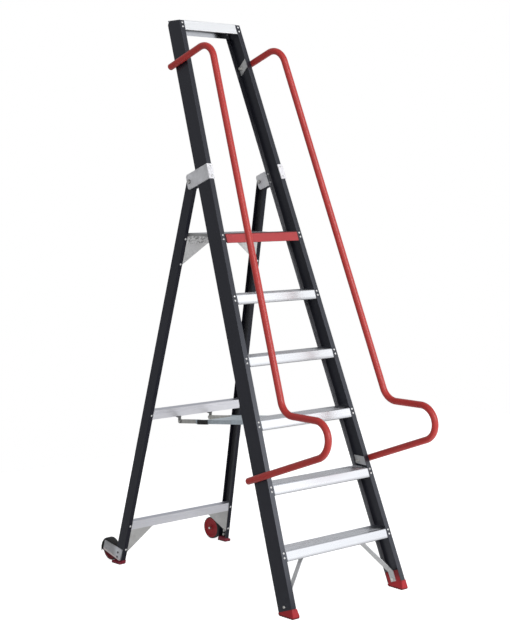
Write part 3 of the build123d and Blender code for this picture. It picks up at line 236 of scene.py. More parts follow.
# ---------------------------------------------------------------------------
# Handrails: tubes bent in the plane beside each stile
# ---------------------------------------------------------------------------
RAIL_W = -(TUBE_R + 0.05)
RAIL_END, RAIL_D, RAIL_S, RAIL_Z, RAIL_BOLT_D = 93.0, -177.6, (2294.0, 553.0), 768.5, 61.5
iz = inward(1).z
rail_pts = [(RAIL_END, RAIL_S[0] * K), (RAIL_D, RAIL_S[0] * K), (RAIL_D, (RAIL_Z + RAIL_D * sl - RAIL_W * iz) / cl * K),
            ((RAIL_S[1] * cl + RAIL_W * iz - RAIL_Z) / sl, RAIL_S[1] * K), (RAIL_END, RAIL_S[1] * K)]


def rounded_path(points, radius, step=3.0):
    """Points and tangents along a polyline with its corners turned at a radius."""
    out = []
    pts = [Vector(p) for p in points]
    out.append((pts[0], (pts[1] - pts[0]).normalized()))
    for a, b, c in zip(pts, pts[1:], pts[2:]):
        u, v = (b - a).normalized(), (c - b).normalized()
        turn = math.atan2(u.x * v.y - u.y * v.x, u.dot(v))
        cut = radius * math.tan(abs(turn) / 2)
        side = 1.0 if turn > 0 else -1.0
        nrm = Vector((-u.y, u.x)) * side
        start = b - u * cut
        centre = start + nrm * radius
        n_arc = max(6, int(math.degrees(abs(turn)) / step))
        last = out[-1][0]
        run = (start - last).length
        for i in range(1, int(run / 90) + 1):
            out.append((last + u * (run * i / (int(run / 90) + 1)), u))
        for i in range(n_arc + 1):
            t = turn * i / n_arc
            cs, sn = math.cos(t), math.sin(t)
            rot = lambda w: Vector((w.x * cs - w.y * sn, w.x * sn + w.y * cs))
            out.append((centre + rot(start - centre), rot(u)))
    last, end = out[-1][0], pts[-1]
    u = (end - last).normalized()
    run = (end - last).length
    for i in range(1, int(run / 90) + 1):
        out.append((last + u * (run * i / (int(run / 90) + 1)), u))
    out.append((end, u))
    return out


rail_path = rounded_path(rail_pts, RAIL_BEND)
SEG = 40
for sx, side in ((-1, "left"), (1, "right")):
    b = Build("handrail_tube_" + side)
    o0 = sp(sx, 0, RAIL_W, 0)
    ey = along(sx)
    ez = inward(sx)
    outer, inner = [], []
    for p, t in rail_path:
        c = o0 + N * p.x + ey * p.y
        nrm = N * -t.y + ey * t.x
        ring = [(nrm * math.cos(2 * math.pi * j / SEG) + ez * math.sin(2 * math.pi * j / SEG)) for j in range(SEG)]
        outer.append([c + e * TUBE_R for e in ring])
        inner.append([c + e * (TUBE_R - TUBE_T) for e in ring])
    b.ring_shell(outer + inner[::-1], closed_loop=True)
    o = b.make()
    stands_for(o, "front_frame", "red_coated_tube", "handrail_" + side)

b = Build("handrail_plugs")
for sx in (-1, 1):
    for s in RAIL_S:
        prof = [(-12.0, 0), (-12.0, 10.6), (-11.4, 11.6), (-0.01, TUBE_R - TUBE_T - 0.05), (0.02, TUBE_R - 0.5), (0.35, TUBE_R - 0.05)]
        prof += [(0.8 + 4.2 * math.sin(a), TUBE_R - 4.2 + 4.2 * math.cos(a)) for a in [math.radians(d) for d in range(0, 91, 9)]]
        prof += [(5.0, 8.6), (4.6, 8.0), (3.6, 7.6), (3.3, 7.0), (3.3, 3.6), (3.5, 3.2), (4.2, 2.8), (4.4, 2.2), (4.4, 0)]
        b.lathe(sp(sx, RAIL_END, RAIL_W, s), N, prof, SEG)
stands_for(b.make(), "front_frame", "red_plastic", "handrail_caps")

# ---------------------------------------------------------------------------
# Rivets with domed heads
# ---------------------------------------------------------------------------


def rivet(build, p, out, shank, tail):
    """Blind rivet: domed head on p, shank going in, set tail at a depth."""
    prof = [(1.42, 0), (1.42, 1.05), (1.86, 1.3), (1.9, 1.6), (1.8, 2.3), (1.5, 3.15), (1.0, 3.95), (0.45, 4.5), (0.12, 4.6), (0.0, 4.5)]
    prof += [(0.0, 2.4), (-tail + 0.02, 2.4), (-tail - 0.02, 3.45), (-tail - 0.4, 3.6), (-tail - 1.1, 3.3), (-tail - 1.6, 2.2), (-tail - 1.6, 0)]
    build.lathe(p, out, prof, 28)


tread_tops = [PITCH * k for k in range(1, TREADS + 2)]
b = Build("front_rivets_set")
for sx in (-1, 1):
    zs = []
    for top in tread_tops:
        zs += [top - 4.0, top - 20.6]
    zs += [TOP_Z - 9.8, TOP_Z - 26.6]
    for z in zs:
        rivet(b, at(sx * (RIVET_X - TAPER * z), LEAN * z, z), -N, 5.6, 5.02)
    for z in [t - 14.0 for t in tread_tops] + [TOP_Z - 36.0]:
        rivet(b, sp(sx, STILE_D, 12.7, (z + STILE_D * sl) / cl), N, 5.6, 5.02)
    for s in (1782, 1822):
        rivet(b, sp(sx, -4.0, 13, s), -N, 7.0, 6.52)
    for s in (1784, 1820):
        rivet(b, sp(sx, STILE_D - STILE_T, 14, s), -N, 6.5, 5.52)
stands_for(b.make(), "front_frame", "rivet", "front_rivets")

b = Build("leg_rivets_set")
for sx in (-1, 1):
    for z in (64.0, 169.8, 661.3, 1307.3, 1411.9):
        rivet(b, at(sx * (LEG_RIVET_X - TAPER_R * z), LEG_Y - LEAN_R * z, z), -NR, 4.5, 4.02)
stands_for(b.make(), "rear_frame", "rivet", "leg_rivets")

# ---------------------------------------------------------------------------
# Bolts with domed, socketed heads
# ---------------------------------------------------------------------------


def dome_bolt(build, p, out, ref, r, h, shank_r, reach):
    """Button head with a hexagon socket; shank going in by reach."""
    key = r * 0.42
    prof = [(h * 0.45, 0), (h * 0.45, key), (h * 0.93, key), (h, key * 1.18), (h * 0.93, r * 0.68), (h * 0.72, r * 0.86), (h * 0.4, r * 0.97), (0.15, r), (0.0, r - 0.1),
            (0.0, shank_r), (-reach + 0.5, shank_r), (-reach, shank_r - 0.5), (-reach, 0)]
    build.lathe(p, out, prof, 36, ref, lambda i, t, rr: min(hex_radius(key * 1.1, t), rr * 1.1) if i in (1, 2) else rr)


b = Build("foot_bolts_set")
for sx in (-1, 1):
    dome_bolt(b, sp(sx, 42.0, 0, 55.0), -inward(sx), N, 5.7, 3.0, 4.0, 31.5)
    nut(b, sp(sx, 42.0, 26.1, 55.0), inward(sx), N, 7.2, 5.0)
stands_for(b.make(), "front_frame", "zinc_steel", "foot_bolts")

b = Build("strap_bolts_set")
for sx in (-1, 1):
    for s in (21.2, 41.0):
        dome_bolt(b, rp(sx, 33.0, -3.0, s), -inward_r(sx), NR, 4.4, 3.0, 3.0, 3.0 + LEG_T + 6)
        nut(b, rp(sx, 33.0, LEG_T + 0.05, s), inward_r(sx), NR, 6.6, 4.5)
stands_for(b.make(), "rear_frame", "zinc_steel", "strap_bolts")

b = Build("handrail_bolts_set")
for sx in (-1, 1):
    for s in RAIL_S:
        p = sp(sx, RAIL_BOLT_D, STILE_T + 4, s)
        b.lathe(p, inward(sx), [(0, 0), (0, 8.3), (0.2, 8.5), (1.3, 8.5), (1.5, 8.3), (1.5, 0)], 40)
        nut(b, p + inward(sx) * 1.5, inward(sx), N, 7.5, 5.0)
        b.lathe(p + inward(sx) * 6.4, -inward(sx), [(0, 0), (0, 3.4), (0.5, 4.0), (22.0, 4.0), (22.0, 0)], 24)
stands_for(b.make(), "front_frame", "zinc_steel", "handrail_bolts")

# ---------------------------------------------------------------------------
# Wheels and tyres
# ---------------------------------------------------------------------------
WHEEL_IN, WHEEL_WIDE = 280.0, 19.4
for sx, side in ((-1, "left"), (1, "right")):
    c = at(sx * WHEEL_IN, WHEEL_Y, WHEEL_Z)
    half = [(0.5, 6.06), (0.0, 6.6), (0.0, 12.2), (0.4, 13.2), (1.2, 13.9), (3.2, 14.3), (3.8, 14.8), (4.0, 15.6), (4.0, 22.6), (3.6, 23.2), (3.6, 25.4), (4.0, 26.0), (4.0, 35.6),
            (3.8, 36.6), (3.0, 37.3), (1.2, 37.9), (0.4, 38.5), (0.0, 39.6), (0.0, 45.6), (0.35, 46.7), (1.2, 47.4)]
    loop = half + [(WHEEL_WIDE - x, r) for x, r in half[::-1]]
    b = Build("wheel_disc_" + side)
    b.lathe_loop(c, EX * sx, loop, 72)
    for i in range(3):
        a = math.radians(30 + 120 * i)
        for x, dirn in ((4.05, -1.0), (WHEEL_WIDE - 4.05, 1.0)):
            p = c + EX * sx * x + Vector((0, math.cos(a), math.sin(a))) * 30.6
            b.lathe(p, EX * sx * dirn, [(-0.6, 0), (-0.6, 2.9), (0.35, 2.9), (0.6, 2.6), (0.6, 0)], 24)
    stands_for(b.make(30), side + "_wheel", "red_plastic", "wheel_" + side)

    b = Build("tyre_band_" + side)
    hp = [(0.5, 47.42), (0.5, 48.0), (0.8, 48.8), (1.5, 49.5), (2.6, 49.9), (3.6, 50.0), (5.8, 50.0), (6.1, 49.3), (6.7, 49.3), (7.0, 50.0)]
    b.lathe_loop(c, EX * sx, hp + [(WHEEL_WIDE - x, r) for x, r in hp[::-1]], 72)
    stands_for(b.make(30), side + "_wheel", "tyre", "tyre_" + side)

# ---------------------------------------------------------------------------
# Edges of the carried-over pieces are broken a little, as cut metal is
# ---------------------------------------------------------------------------


def break_edges(o, width, seg=2, angle=30.0):
    m = o.modifiers.new("join", "WELD")
    m.merge_threshold = 2e-6
    m = o.modifiers.new("plain_faces", "DECIMATE")
    m.decimate_type = "DISSOLVE"
    m.angle_limit = math.radians(0.6)
    m = o.modifiers.new("broken_edges", "BEVEL")
    m.width = width
    m.segments = seg
    m.limit_method = "ANGLE"
    m.angle_limit = math.radians(angle)
    m.harden_normals = False
    m = o.modifiers.new("shading", "WEIGHTED_NORMAL")
    m.keep_sharp = True


# ---------------------------------------------------------------------------
# Node-graph helpers
# ---------------------------------------------------------------------------


class Graph:
    def __init__(self, name, turn=(0, 0, 0)):
        self.mat = bpy.data.materials.new(name)
        self.mat.use_nodes = True
        self.tree = self.mat.node_tree
        self.tree.nodes.clear()
        self.out = self.add("ShaderNodeOutputMaterial")
        self.bsdf = self.add("ShaderNodeBsdfPrincipled")
        self.link(self.bsdf.outputs[0], self.out.inputs["Surface"])
        tc = self.add("ShaderNodeTexCoord")
        self.coord = tc.outputs["Object"]
        self.object_normal = tc.outputs["Normal"]
        if any(turn):
            m = self.add("ShaderNodeMapping")
            m.inputs["Rotation"].default_value = turn
            self.link(self.coord, m.inputs["Vector"])
            self.coord = m.outputs[0]

    def add(self, kind):
        return self.tree.nodes.new(kind)

    def link(self, a, b):
        self.tree.links.new(a, b)

    def scaled(self, scale):
        m = self.add("ShaderNodeMapping")
        m.inputs["Scale"].default_value = scale
        self.link(self.coord, m.inputs["Vector"])
        return m.outputs[0]

    def axis(self, socket, i):
        s = self.add("ShaderNodeSeparateXYZ")
        self.link(socket, s.inputs[0])
        return s.outputs[i]

    def noise(self, scale, stretch=(1, 1, 1), detail=4, rough=0.55, distortion=0.0):
        t = self.add("ShaderNodeTexNoise")
        t.inputs["Scale"].default_value = scale
        t.inputs["Detail"].default_value = detail
        t.inputs["Roughness"].default_value = rough
        t.inputs["Distortion"].default_value = distortion
        self.link(self.scaled(stretch), t.inputs["Vector"])
        return t.outputs["Fac"]

    def voronoi(self, scale, stretch=(1, 1, 1), feature="F1", out="Distance"):
        t = self.add("ShaderNodeTexVoronoi")
        t.feature = feature
        t.inputs["Scale"].default_value = scale
        self.link(self.scaled(stretch), t.inputs["Vector"])
        return t.outputs[out]

    def ramp(self, fac, stops):
        r = self.add("ShaderNodeValToRGB")
        e = r.color_ramp.elements
        while len(e) < len(stops):
            e.new(0.5)
        for el, (p, c) in zip(e, stops):
            el.position = p
            el.color = (*c, 1) if len(c) == 3 else c
        self.link(fac, r.inputs["Fac"])
        return r.outputs["Color"]

    def span(self, fac, lo, hi, a=0.0, b=1.0):
        r = self.add("ShaderNodeMapRange")
        for i, v in zip(("From Min", "From Max", "To Min", "To Max"), (a, b, lo, hi)):
            r.inputs[i].default_value = v
        self.link(fac, r.inputs["Value"])
        return r.outputs["Result"]

    def math(self, op, a, b=None):
        m = self.add("ShaderNodeMath")
        m.operation = op
        for i, v in enumerate((a, b)):
            if v is None:
                continue
            if isinstance(v, (int, float)):
                m.inputs[i].default_value = v
            else:
                self.link(v, m.inputs[i])
        return m.outputs[0]

    def mix(self, fac, a, b, blend="MIX"):
        m = self.add("ShaderNodeMix")
        m.data_type = "RGBA"
        m.blend_type = blend
        if isinstance(fac, (int, float)):
            m.inputs["Factor"].default_value = fac
        else:
            self.link(fac, m.inputs["Factor"])
        for v, s in ((a, m.inputs[6]), (b, m.inputs[7])):
            if isinstance(v, tuple):
                s.default_value = (*v, 1)
            else:
                self.link(v, s)
        return m.outputs[2]

    def bump(self, height, strength, distance):
        b = self.add("ShaderNodeBump")
        b.inputs["Strength"].default_value = strength
        b.inputs["Distance"].default_value = distance
        self.link(height, b.inputs["Height"])
        self.link(b.outputs[0], self.bsdf.inputs["Normal"])

    def set(self, **kw):
        for k, v in kw.items():
            s = self.bsdf.inputs[k.replace("_", " ")]
            if isinstance(v, (int, float)):
                s.default_value = v
            elif isinstance(v, tuple):
                s.default_value = (*v, 1) if len(v) == 3 else v
            else:
                self.link(v, s)
        return self


# ---------------------------------------------------------------------------
# Materials
# ---------------------------------------------------------------------------


def black_anodised(name, turn, inner):
    """Satin black anodised extrusion: faint draw lines along its length.

    inner is the depth beyond which faces turned to the front lie inside the
    channel; they are rougher and lined, with a lighter tone that fades toward
    the top: painted light. Front faces get a painted sheen in their specular
    level, raised low down on the left stile and lowered at its foot. Without
    inner, as on the rear legs, faces turned toward the middle are lighter and
    front faces less specular: painted light and painted shade.
    """
    g = Graph(name, turn)
    lines = g.noise(420, (1, 1, 0.006), 3)
    cloud = g.noise(7, (1, 1, 0.4), detail=5)
    dust = g.noise(140, detail=3, rough=0.7)
    col = g.ramp(cloud, [(0.3, (0.0075, 0.0075, 0.0125)), (0.7, (0.0115, 0.0115, 0.0175))])
    col = g.mix(g.span(dust, 0.0, 0.3, 0.62, 0.85), col, (0.022, 0.022, 0.028))
    rough = g.math("ADD", g.span(lines, 0.27, 0.37, 0.3, 0.7), g.span(cloud, -0.03, 0.03, 0.3, 0.7))
    if inner is not None:
        # Front-facing faces beyond inner, the rear flange's inside, are lighter below about 1.5 m and fade out toward
        # the top: painted light.
        front = g.span(g.axis(g.object_normal, 1), 0.0, 1.0, -0.6, -0.8)
        depth = g.span(g.axis(g.coord, 1), 0.0, 1.0, inner, inner + 0.004)
        mask = g.math("MULTIPLY", front, depth)
        mask = g.math("MULTIPLY", mask, g.span(g.axis(g.coord, 2), 1.0, 0.12, 1.5, 1.9))
        painted_light_tone = g.ramp(g.noise(260, (1, 1, 0.006), 3), [(0.35, (0.075, 0.075, 0.082)), (0.65, (0.215, 0.215, 0.23))])
        col = g.mix(mask, col, painted_light_tone)
        rough = g.math("ADD", rough, g.math("MULTIPLY", mask, 0.2))
        # Front faces of the left stile get more specular low down and less at the foot: painted sheen and painted
        # shade.
        painted_sheen = g.math("ADD", g.span(g.axis(g.coord, 2), 0.42, 0.0, 0.62, 1.0), g.span(g.axis(g.coord, 2), -0.66, 0.0, -0.145, 0.115))
        painted_sheen = g.math("MULTIPLY", front, painted_sheen)
        lines_and_painted_sheen = g.math("ADD", g.math("MULTIPLY", painted_sheen, g.span(g.axis(g.coord, 0), 1.0, 0.0, -0.05, 0.05)), g.span(lines, 0.48, 0.52, 0.3, 0.7))
    else:
        # Rear legs: faces turned toward the middle are lighter (painted light), front faces less specular (painted
        # shade).
        front = g.span(g.axis(g.object_normal, 1), 0.0, 1.0, -0.6, -0.8)
        inside = g.span(g.math("MULTIPLY", g.axis(g.object_normal, 0), g.axis(g.coord, 0)), 1.0, 0.0, -0.15, -0.1)
        col = g.mix(inside, col, (0.03, 0.03, 0.033))
        lines_and_painted_sheen = g.math("SUBTRACT", g.span(lines, 0.48, 0.52, 0.3, 0.7), g.math("MULTIPLY", front, 0.36))
    g.set(Base_Color=col, Roughness=rough, Metallic=0.0, IOR=1.56, Specular_IOR_Level=lines_and_painted_sheen, Specular_Tint=(0.86, 0.9, 1.0))
    g.bump(lines, 0.12, 0.0003)
    return g.mat


def bright_aluminium(name, lo, hi, r, painted_shading=False, edge=None):
    """Mill-finish extrusion drawn along X. The shaded variant is darker toward the floor, lighter between 1.0 and 1.35
    m, bluer on up-facing faces (painted reflection) and darker on the upper treads' tops (painted shade); edge paints a
    band of painted shade under each tread's top.
    """
    g = Graph(name)
    streak = g.noise(330, (0.008, 1, 1), 4, 0.6)
    fine = g.noise(1500, (0.015, 1, 1), 2)
    cloud = g.noise(7, (0.5, 1, 1), detail=4)
    col = g.ramp(cloud, [(0.3, lo), (0.7, hi)])
    col = g.mix(g.span(streak, 0.0, 0.3, 0.5, 0.8), col, tuple(c * 0.86 for c in lo))
    if painted_shading:
        z = g.axis(g.coord, 2)
        upward = g.span(g.axis(g.object_normal, 2), 0.0, 1.0, 0.5, 0.9)
        painted_top_shade = g.math("MULTIPLY", upward, g.span(z, 0.0, 1.0, 0.75, 0.95))
        lighter_band = g.math("MULTIPLY", g.span(z, 0.0, 0.9, 1.0, 1.15), g.span(z, 1.0, 0.0, 1.25, 1.35))
        # Darker toward the floor, lighter between 1.0 and 1.35 m.
        col = g.mix(g.span(z, 0.55, 0.0, 0.35, 0.65), col, tuple(c * 0.9 for c in lo))
        col = g.mix(lighter_band, col, tuple(c * 1.07 for c in hi))
        # Up-facing faces are bluer, a painted reflection; tops of the upper treads are darker, painted shade.
        col = g.mix(g.math("MULTIPLY", upward, 0.7), col, (lo[0] * 1.05, lo[1] * 1.07, lo[2] * 1.12))
        col = g.mix(painted_top_shade, col, (lo[0] * 0.83, lo[1] * 0.84, lo[2] * 0.88))
    if edge:
        # A darker band 30 to 50 mm under each tread's top, at the lower edge of its front: painted shade.
        rise = g.math("MODULO", g.axis(g.coord, 2), edge[0])
        band = g.math("MULTIPLY", g.span(rise, 0.9, 0.0, edge[1], edge[1] + 0.004), g.span(rise, 0.0, 1.0, edge[1] - 0.025, edge[1] - 0.02))
        col = g.mix(band, col, tuple(c * 0.72 for c in lo))
    rough = g.math("ADD", g.span(streak, r[0], r[1], 0.3, 0.7), g.span(cloud, -0.04, 0.04, 0.3, 0.7))
    g.set(Base_Color=col, Roughness=rough, Metallic=1.0)
    g.bump(g.math("ADD", streak, g.math("MULTIPLY", fine, 0.5)), 0.1, 0.0003)
    return g.mat


def cross_aluminium(name, inner, wall, top):
    """Like the treads but brushed; the inside of its rear wall is glossy, darker as painted shade, and bows a little.
    """
    g = Graph(name, (lam, 0, 0))
    streak = g.noise(330, (0.008, 1, 1), 4, 0.6)
    cloud = g.noise(7, (0.5, 1, 1), detail=4)
    col = g.ramp(cloud, [(0.3, (0.81, 0.82, 0.84)), (0.7, (0.87, 0.88, 0.89))])
    col = g.mix(g.span(streak, 0.0, 0.3, 0.5, 0.8), col, (0.78, 0.79, 0.81))
    depth = g.span(g.axis(g.coord, 1), 1.0, 0.0, inner, inner + 0.004)
    rough = g.math("ADD", g.math("MULTIPLY", depth, g.span(streak, 0.28, 0.38, 0.3, 0.7)), g.span(streak, 0.16, 0.22, 0.3, 0.7))
    face = g.math("MULTIPLY", g.span(g.axis(g.coord, 1), 0.0, 1.0, wall - 0.003, wall - 0.002), g.span(g.axis(g.coord, 1), 1.0, 0.0, wall + 0.0006, wall + 0.0014))
    # The inside of the rear wall is a darker copy of the aluminium: painted shade.
    painted_light_tone = g.ramp(cloud, [(0.3, (0.252, 0.259, 0.28)), (0.7, (0.294, 0.302, 0.323))])
    g.set(Base_Color=g.mix(face, col, painted_light_tone), Roughness=rough, Metallic=1.0)
    bow = g.math("MULTIPLY", g.math("MULTIPLY", face, 0.47), g.math("SUBTRACT", g.axis(g.coord, 2), top))
    g.bump(g.math("ADD", bow, g.math("MULTIPLY", streak, 0.000012)), 1.0, 1.0)
    return g.mat


def bolt_steel(name, y, z, r):
    """Zinc-plated bolt, bright within a radius of its axis and dark beyond it: a painted shadow ring round the head."""
    g = Graph(name)
    cloud = g.noise(60, detail=5)
    axis = g.add("ShaderNodeCombineXYZ")
    g.link(g.axis(g.coord, 1), axis.inputs[1])
    g.link(g.axis(g.coord, 2), axis.inputs[2])
    d = g.add("ShaderNodeVectorMath")
    d.operation = "DISTANCE"
    d.inputs[1].default_value = (0, y, z)
    g.link(axis.outputs[0], d.inputs[0])
    # Dark beyond the radius: painted shadow.
    mask = g.span(d.outputs["Value"], 0.0, 1.0, r - 0.0005, r + 0.0005)
    bright = g.ramp(cloud, [(0.3, (0.6, 0.6, 0.59)), (0.7, (0.74, 0.73, 0.7))])
    dark = g.ramp(cloud, [(0.3, (0.05, 0.05, 0.05)), (0.7, (0.09, 0.09, 0.09))])
    g.set(Base_Color=g.mix(mask, bright, dark), Roughness=g.span(cloud, 0.34, 0.5, 0.3, 0.7), Metallic=1.0)
    g.bump(g.noise(700, detail=2), 0.06, 0.0002)
    return g.mat


def plate_aluminium(name, base, r, tint=(1, 1, 1), metal=1.0):
    """Rolled sheet, faintly mottled."""
    g = Graph(name)
    cells = g.voronoi(95, out="Color")
    cloud = g.noise(22, detail=6, rough=0.65)
    roll = g.noise(260, (1, 0.02, 1), 3)
    fine = g.noise(480, detail=2)
    lo, hi = base * 0.88, base * 1.08
    col = g.ramp(cloud, [(0.32, tuple(lo * t for t in tint)), (0.68, tuple(hi * t for t in tint))])
    sep = g.add("ShaderNodeSeparateColor")
    g.link(cells, sep.inputs[0])
    rough = g.math("ADD", g.span(sep.outputs[0], r - 0.05, r + 0.07), g.span(fine, -0.03, 0.03, 0.3, 0.7))
    g.set(Base_Color=col, Roughness=rough, Metallic=metal)
    g.bump(g.math("ADD", fine, roll), 0.1, 0.0003)
    return g.mat


def zinc(name, lo=(0.6, 0.6, 0.58), hi=(0.76, 0.75, 0.71), r=(0.28, 0.42)):
    g = Graph(name)
    cloud = g.noise(60, detail=5)
    col = g.ramp(cloud, [(0.3, lo), (0.7, hi)])
    g.set(Base_Color=col, Roughness=g.span(cloud, r[0], r[1], 0.3, 0.7), Metallic=1.0)
    g.bump(g.noise(700, detail=2), 0.06, 0.0002)
    return g.mat


def lug_steel(name, z0):
    """Zinc-plated lug; the pad that takes the beam, above z0, is dark and not metallic: painted shade under the beam.
    """
    g = Graph(name)
    cloud = g.noise(60, detail=5)
    col = g.ramp(cloud, [(0.3, (0.26, 0.26, 0.26)), (0.7, (0.36, 0.36, 0.35))])
    # Above z0 the pad is dark: painted shade.
    pad = g.ramp(cloud, [(0.3, (0.03, 0.03, 0.03)), (0.7, (0.05, 0.05, 0.052))])
    mask = g.span(g.axis(g.coord, 2), 0.0, 1.0, z0, z0 + 0.0015)
    g.set(Base_Color=g.mix(mask, col, pad), Roughness=g.span(cloud, 0.42, 0.58, 0.3, 0.7), Metallic=g.math("SUBTRACT", 1.0, mask))
    g.bump(g.noise(700, detail=2), 0.06, 0.0002)
    return g.mat


def red_coat():
    """Powder coat on tube: orange peel and a soft gloss."""
    g = Graph("red_coat")
    peel = g.noise(520, detail=2, rough=0.5)
    cloud = g.noise(6, detail=4)
    scuff = g.noise(55, (1, 1, 0.3), detail=5, rough=0.7)
    col = g.ramp(cloud, [(0.3, (0.41, 0.0305, 0.0265)), (0.7, (0.465, 0.0355, 0.0305))])
    col = g.mix(g.span(scuff, 0.0, 0.5, 0.66, 0.85), col, (0.365, 0.03, 0.026))
    g.set(Base_Color=col, Roughness=g.math("ADD", g.span(cloud, 0.27, 0.33, 0.3, 0.7), g.span(scuff, 0.0, 0.1, 0.55, 0.8)), IOR=1.45)
    g.bump(peel, 0.1, 0.0004)
    return g.mat


def red_plastic(name, lo, hi, r, rim):
    """Moulded plastic with a fine spark-eroded texture, blackened by the tyre outside the rim's radius."""
    g = Graph(name)
    spark = g.noise(900, detail=2)
    cloud = g.noise(16, detail=5)
    dirt = g.noise(70, detail=5, rough=0.7)
    col = g.ramp(cloud, [(0.3, lo), (0.7, hi)])
    col = g.mix(g.span(dirt, 0.0, 0.45, 0.6, 0.85), col, tuple(c * 0.7 for c in lo))
    # The wheel's outer faces, under the strap, are darker and duller: painted shade.
    outer = g.span(g.math("ABSOLUTE", g.axis(g.coord, 0)), 0.0, 0.85, 0.29, 0.297)
    col = g.mix(outer, col, (lo[0] * 0.55, lo[1] * 1.3, lo[2] * 1.3))
    flat = g.add("ShaderNodeCombineXYZ")
    g.link(g.axis(g.coord, 1), flat.inputs[1])
    g.link(g.axis(g.coord, 2), flat.inputs[2])
    d = g.add("ShaderNodeVectorMath")
    d.operation = "DISTANCE"
    d.inputs[1].default_value = (0, rim[0], rim[1])
    g.link(flat.outputs[0], d.inputs[0])
    edge = g.math("ADD", d.outputs["Value"], g.span(dirt, -0.0006, 0.0006, 0.3, 0.7))
    col = g.mix(g.span(edge, 0.0, 0.92, rim[2] - 0.0008, rim[2] + 0.0008), col, tuple(c * 0.1 + 0.008 for c in lo))
    g.set(Base_Color=col, Roughness=g.span(cloud, r - 0.04, r + 0.05, 0.3, 0.7), IOR=1.38)
    g.bump(spark, 0.16, 0.0003)
    return g.mat


def nosing_plastic(name, lo, hi, r, z_top, z_low, half):
    """Moulded strip: the rim round its face is a darker tone than the panel, a painted shadow line along its top,
    bottom and ends.
    """
    g = Graph(name)
    spark = g.noise(900, detail=2)
    cloud = g.noise(16, detail=5)
    col = g.ramp(cloud, [(0.3, lo), (0.7, hi)])
    z = g.axis(g.coord, 2)
    x = g.math("ABSOLUTE", g.axis(g.coord, 0))
    # Darker rim at the top, bottom and ends: painted shadow line.
    rim = g.math("MAXIMUM", g.span(z, 0.0, 1.0, z_top - 0.0045, z_top - 0.0025), g.span(z, 0.0, 0.7, z_low + 0.002, z_low + 0.0008))
    rim = g.math("MAXIMUM", rim, g.span(x, 0.0, 0.8, half - 0.004, half - 0.0025))
    dark = g.ramp(cloud, [(0.3, tuple(c * 0.24 for c in lo)), (0.7, tuple(c * 0.28 for c in hi))])
    g.set(Base_Color=g.mix(rim, col, dark), Roughness=g.span(cloud, r - 0.04, r + 0.05, 0.3, 0.7), IOR=1.38)
    g.bump(spark, 0.16, 0.0003)
    return g.mat


def foot_plastic(name, lo, hi, r, sole):
    """Moulded foot, darker along its sole; from 30 to 60 mm up it darkens again, painted shade inside the channel."""
    g = Graph(name)
    spark = g.noise(900, detail=2)
    cloud = g.noise(16, detail=5)
    dirt = g.noise(70, detail=5, rough=0.7)
    col = g.ramp(cloud, [(0.3, lo), (0.7, hi)])
    col = g.mix(g.span(dirt, 0.0, 0.45, 0.6, 0.85), col, tuple(c * 0.7 for c in lo))
    low = g.math("ADD", g.axis(g.coord, 2), g.span(dirt, -0.0012, 0.0012, 0.3, 0.7))
    dark = g.ramp(cloud, [(0.3, tuple(c * 0.3 for c in lo)), (0.7, tuple(c * 0.36 for c in hi))])
    # Darker along the sole, and from 30 to 60 mm up: painted shade inside the channel.
    shade = g.math("MAXIMUM", g.span(low, 1.0, 0.0, sole, sole + 0.002), g.span(low, 0.0, 0.85, 0.03, 0.06))
    g.set(Base_Color=g.mix(shade, col, dark), Roughness=g.span(cloud, r - 0.04, r + 0.05, 0.3, 0.7), IOR=1.38)
    g.bump(spark, 0.16, 0.0003)
    return g.mat


def strap_bolt_steel(name, x0):
    """Dark heads outside x0, bright nuts inside it."""
    g = Graph(name)
    cloud = g.noise(60, detail=5)
    head = g.span(g.math("ABSOLUTE", g.axis(g.coord, 0)), 0.0, 1.0, x0 - 0.0003, x0 + 0.0003)
    bright = g.ramp(cloud, [(0.3, (0.66, 0.66, 0.65)), (0.7, (0.8, 0.79, 0.76))])
    dark = g.ramp(cloud, [(0.3, (0.1, 0.1, 0.105)), (0.7, (0.16, 0.16, 0.165))])
    g.set(Base_Color=g.mix(head, bright, dark), Roughness=g.span(cloud, 0.38, 0.52, 0.3, 0.7), Metallic=1.0)
    g.bump(g.noise(700, detail=2), 0.06, 0.0002)
    return g.mat


def axle_steel(name, y, z, r, x0):
    """Bright turned end with a dark clip round it, tinted red as a painted reflection of the wheel; outside x0 the head
    is like the strap.
    """
    g = Graph(name)
    cloud = g.noise(60, detail=5)
    flat = g.add("ShaderNodeCombineXYZ")
    g.link(g.axis(g.coord, 1), flat.inputs[1])
    g.link(g.axis(g.coord, 2), flat.inputs[2])
    d = g.add("ShaderNodeVectorMath")
    d.operation = "DISTANCE"
    d.inputs[1].default_value = (0, y, z)
    g.link(flat.outputs[0], d.inputs[0])
    clip = g.span(d.outputs["Value"], 0.0, 1.0, r - 0.0004, r + 0.0004)
    bright = g.ramp(cloud, [(0.3, (0.74, 0.73, 0.72)), (0.7, (0.86, 0.85, 0.82))])
    # Clip tone tinted red: painted reflection of the wheel.
    dark = g.ramp(cloud, [(0.3, (0.3, 0.17, 0.16)), (0.7, (0.38, 0.22, 0.21))])
    head = g.ramp(cloud, [(0.3, (0.54, 0.54, 0.55)), (0.7, (0.66, 0.66, 0.67))])
    out = g.span(g.math("ABSOLUTE", g.axis(g.coord, 0)), 0.0, 1.0, x0, x0 + 0.001)
    g.set(Base_Color=g.mix(out, g.mix(clip, bright, dark), head), Roughness=g.span(cloud, 0.42, 0.58, 0.3, 0.7), Metallic=1.0)
    g.bump(g.noise(700, detail=2), 0.06, 0.0002)
    return g.mat


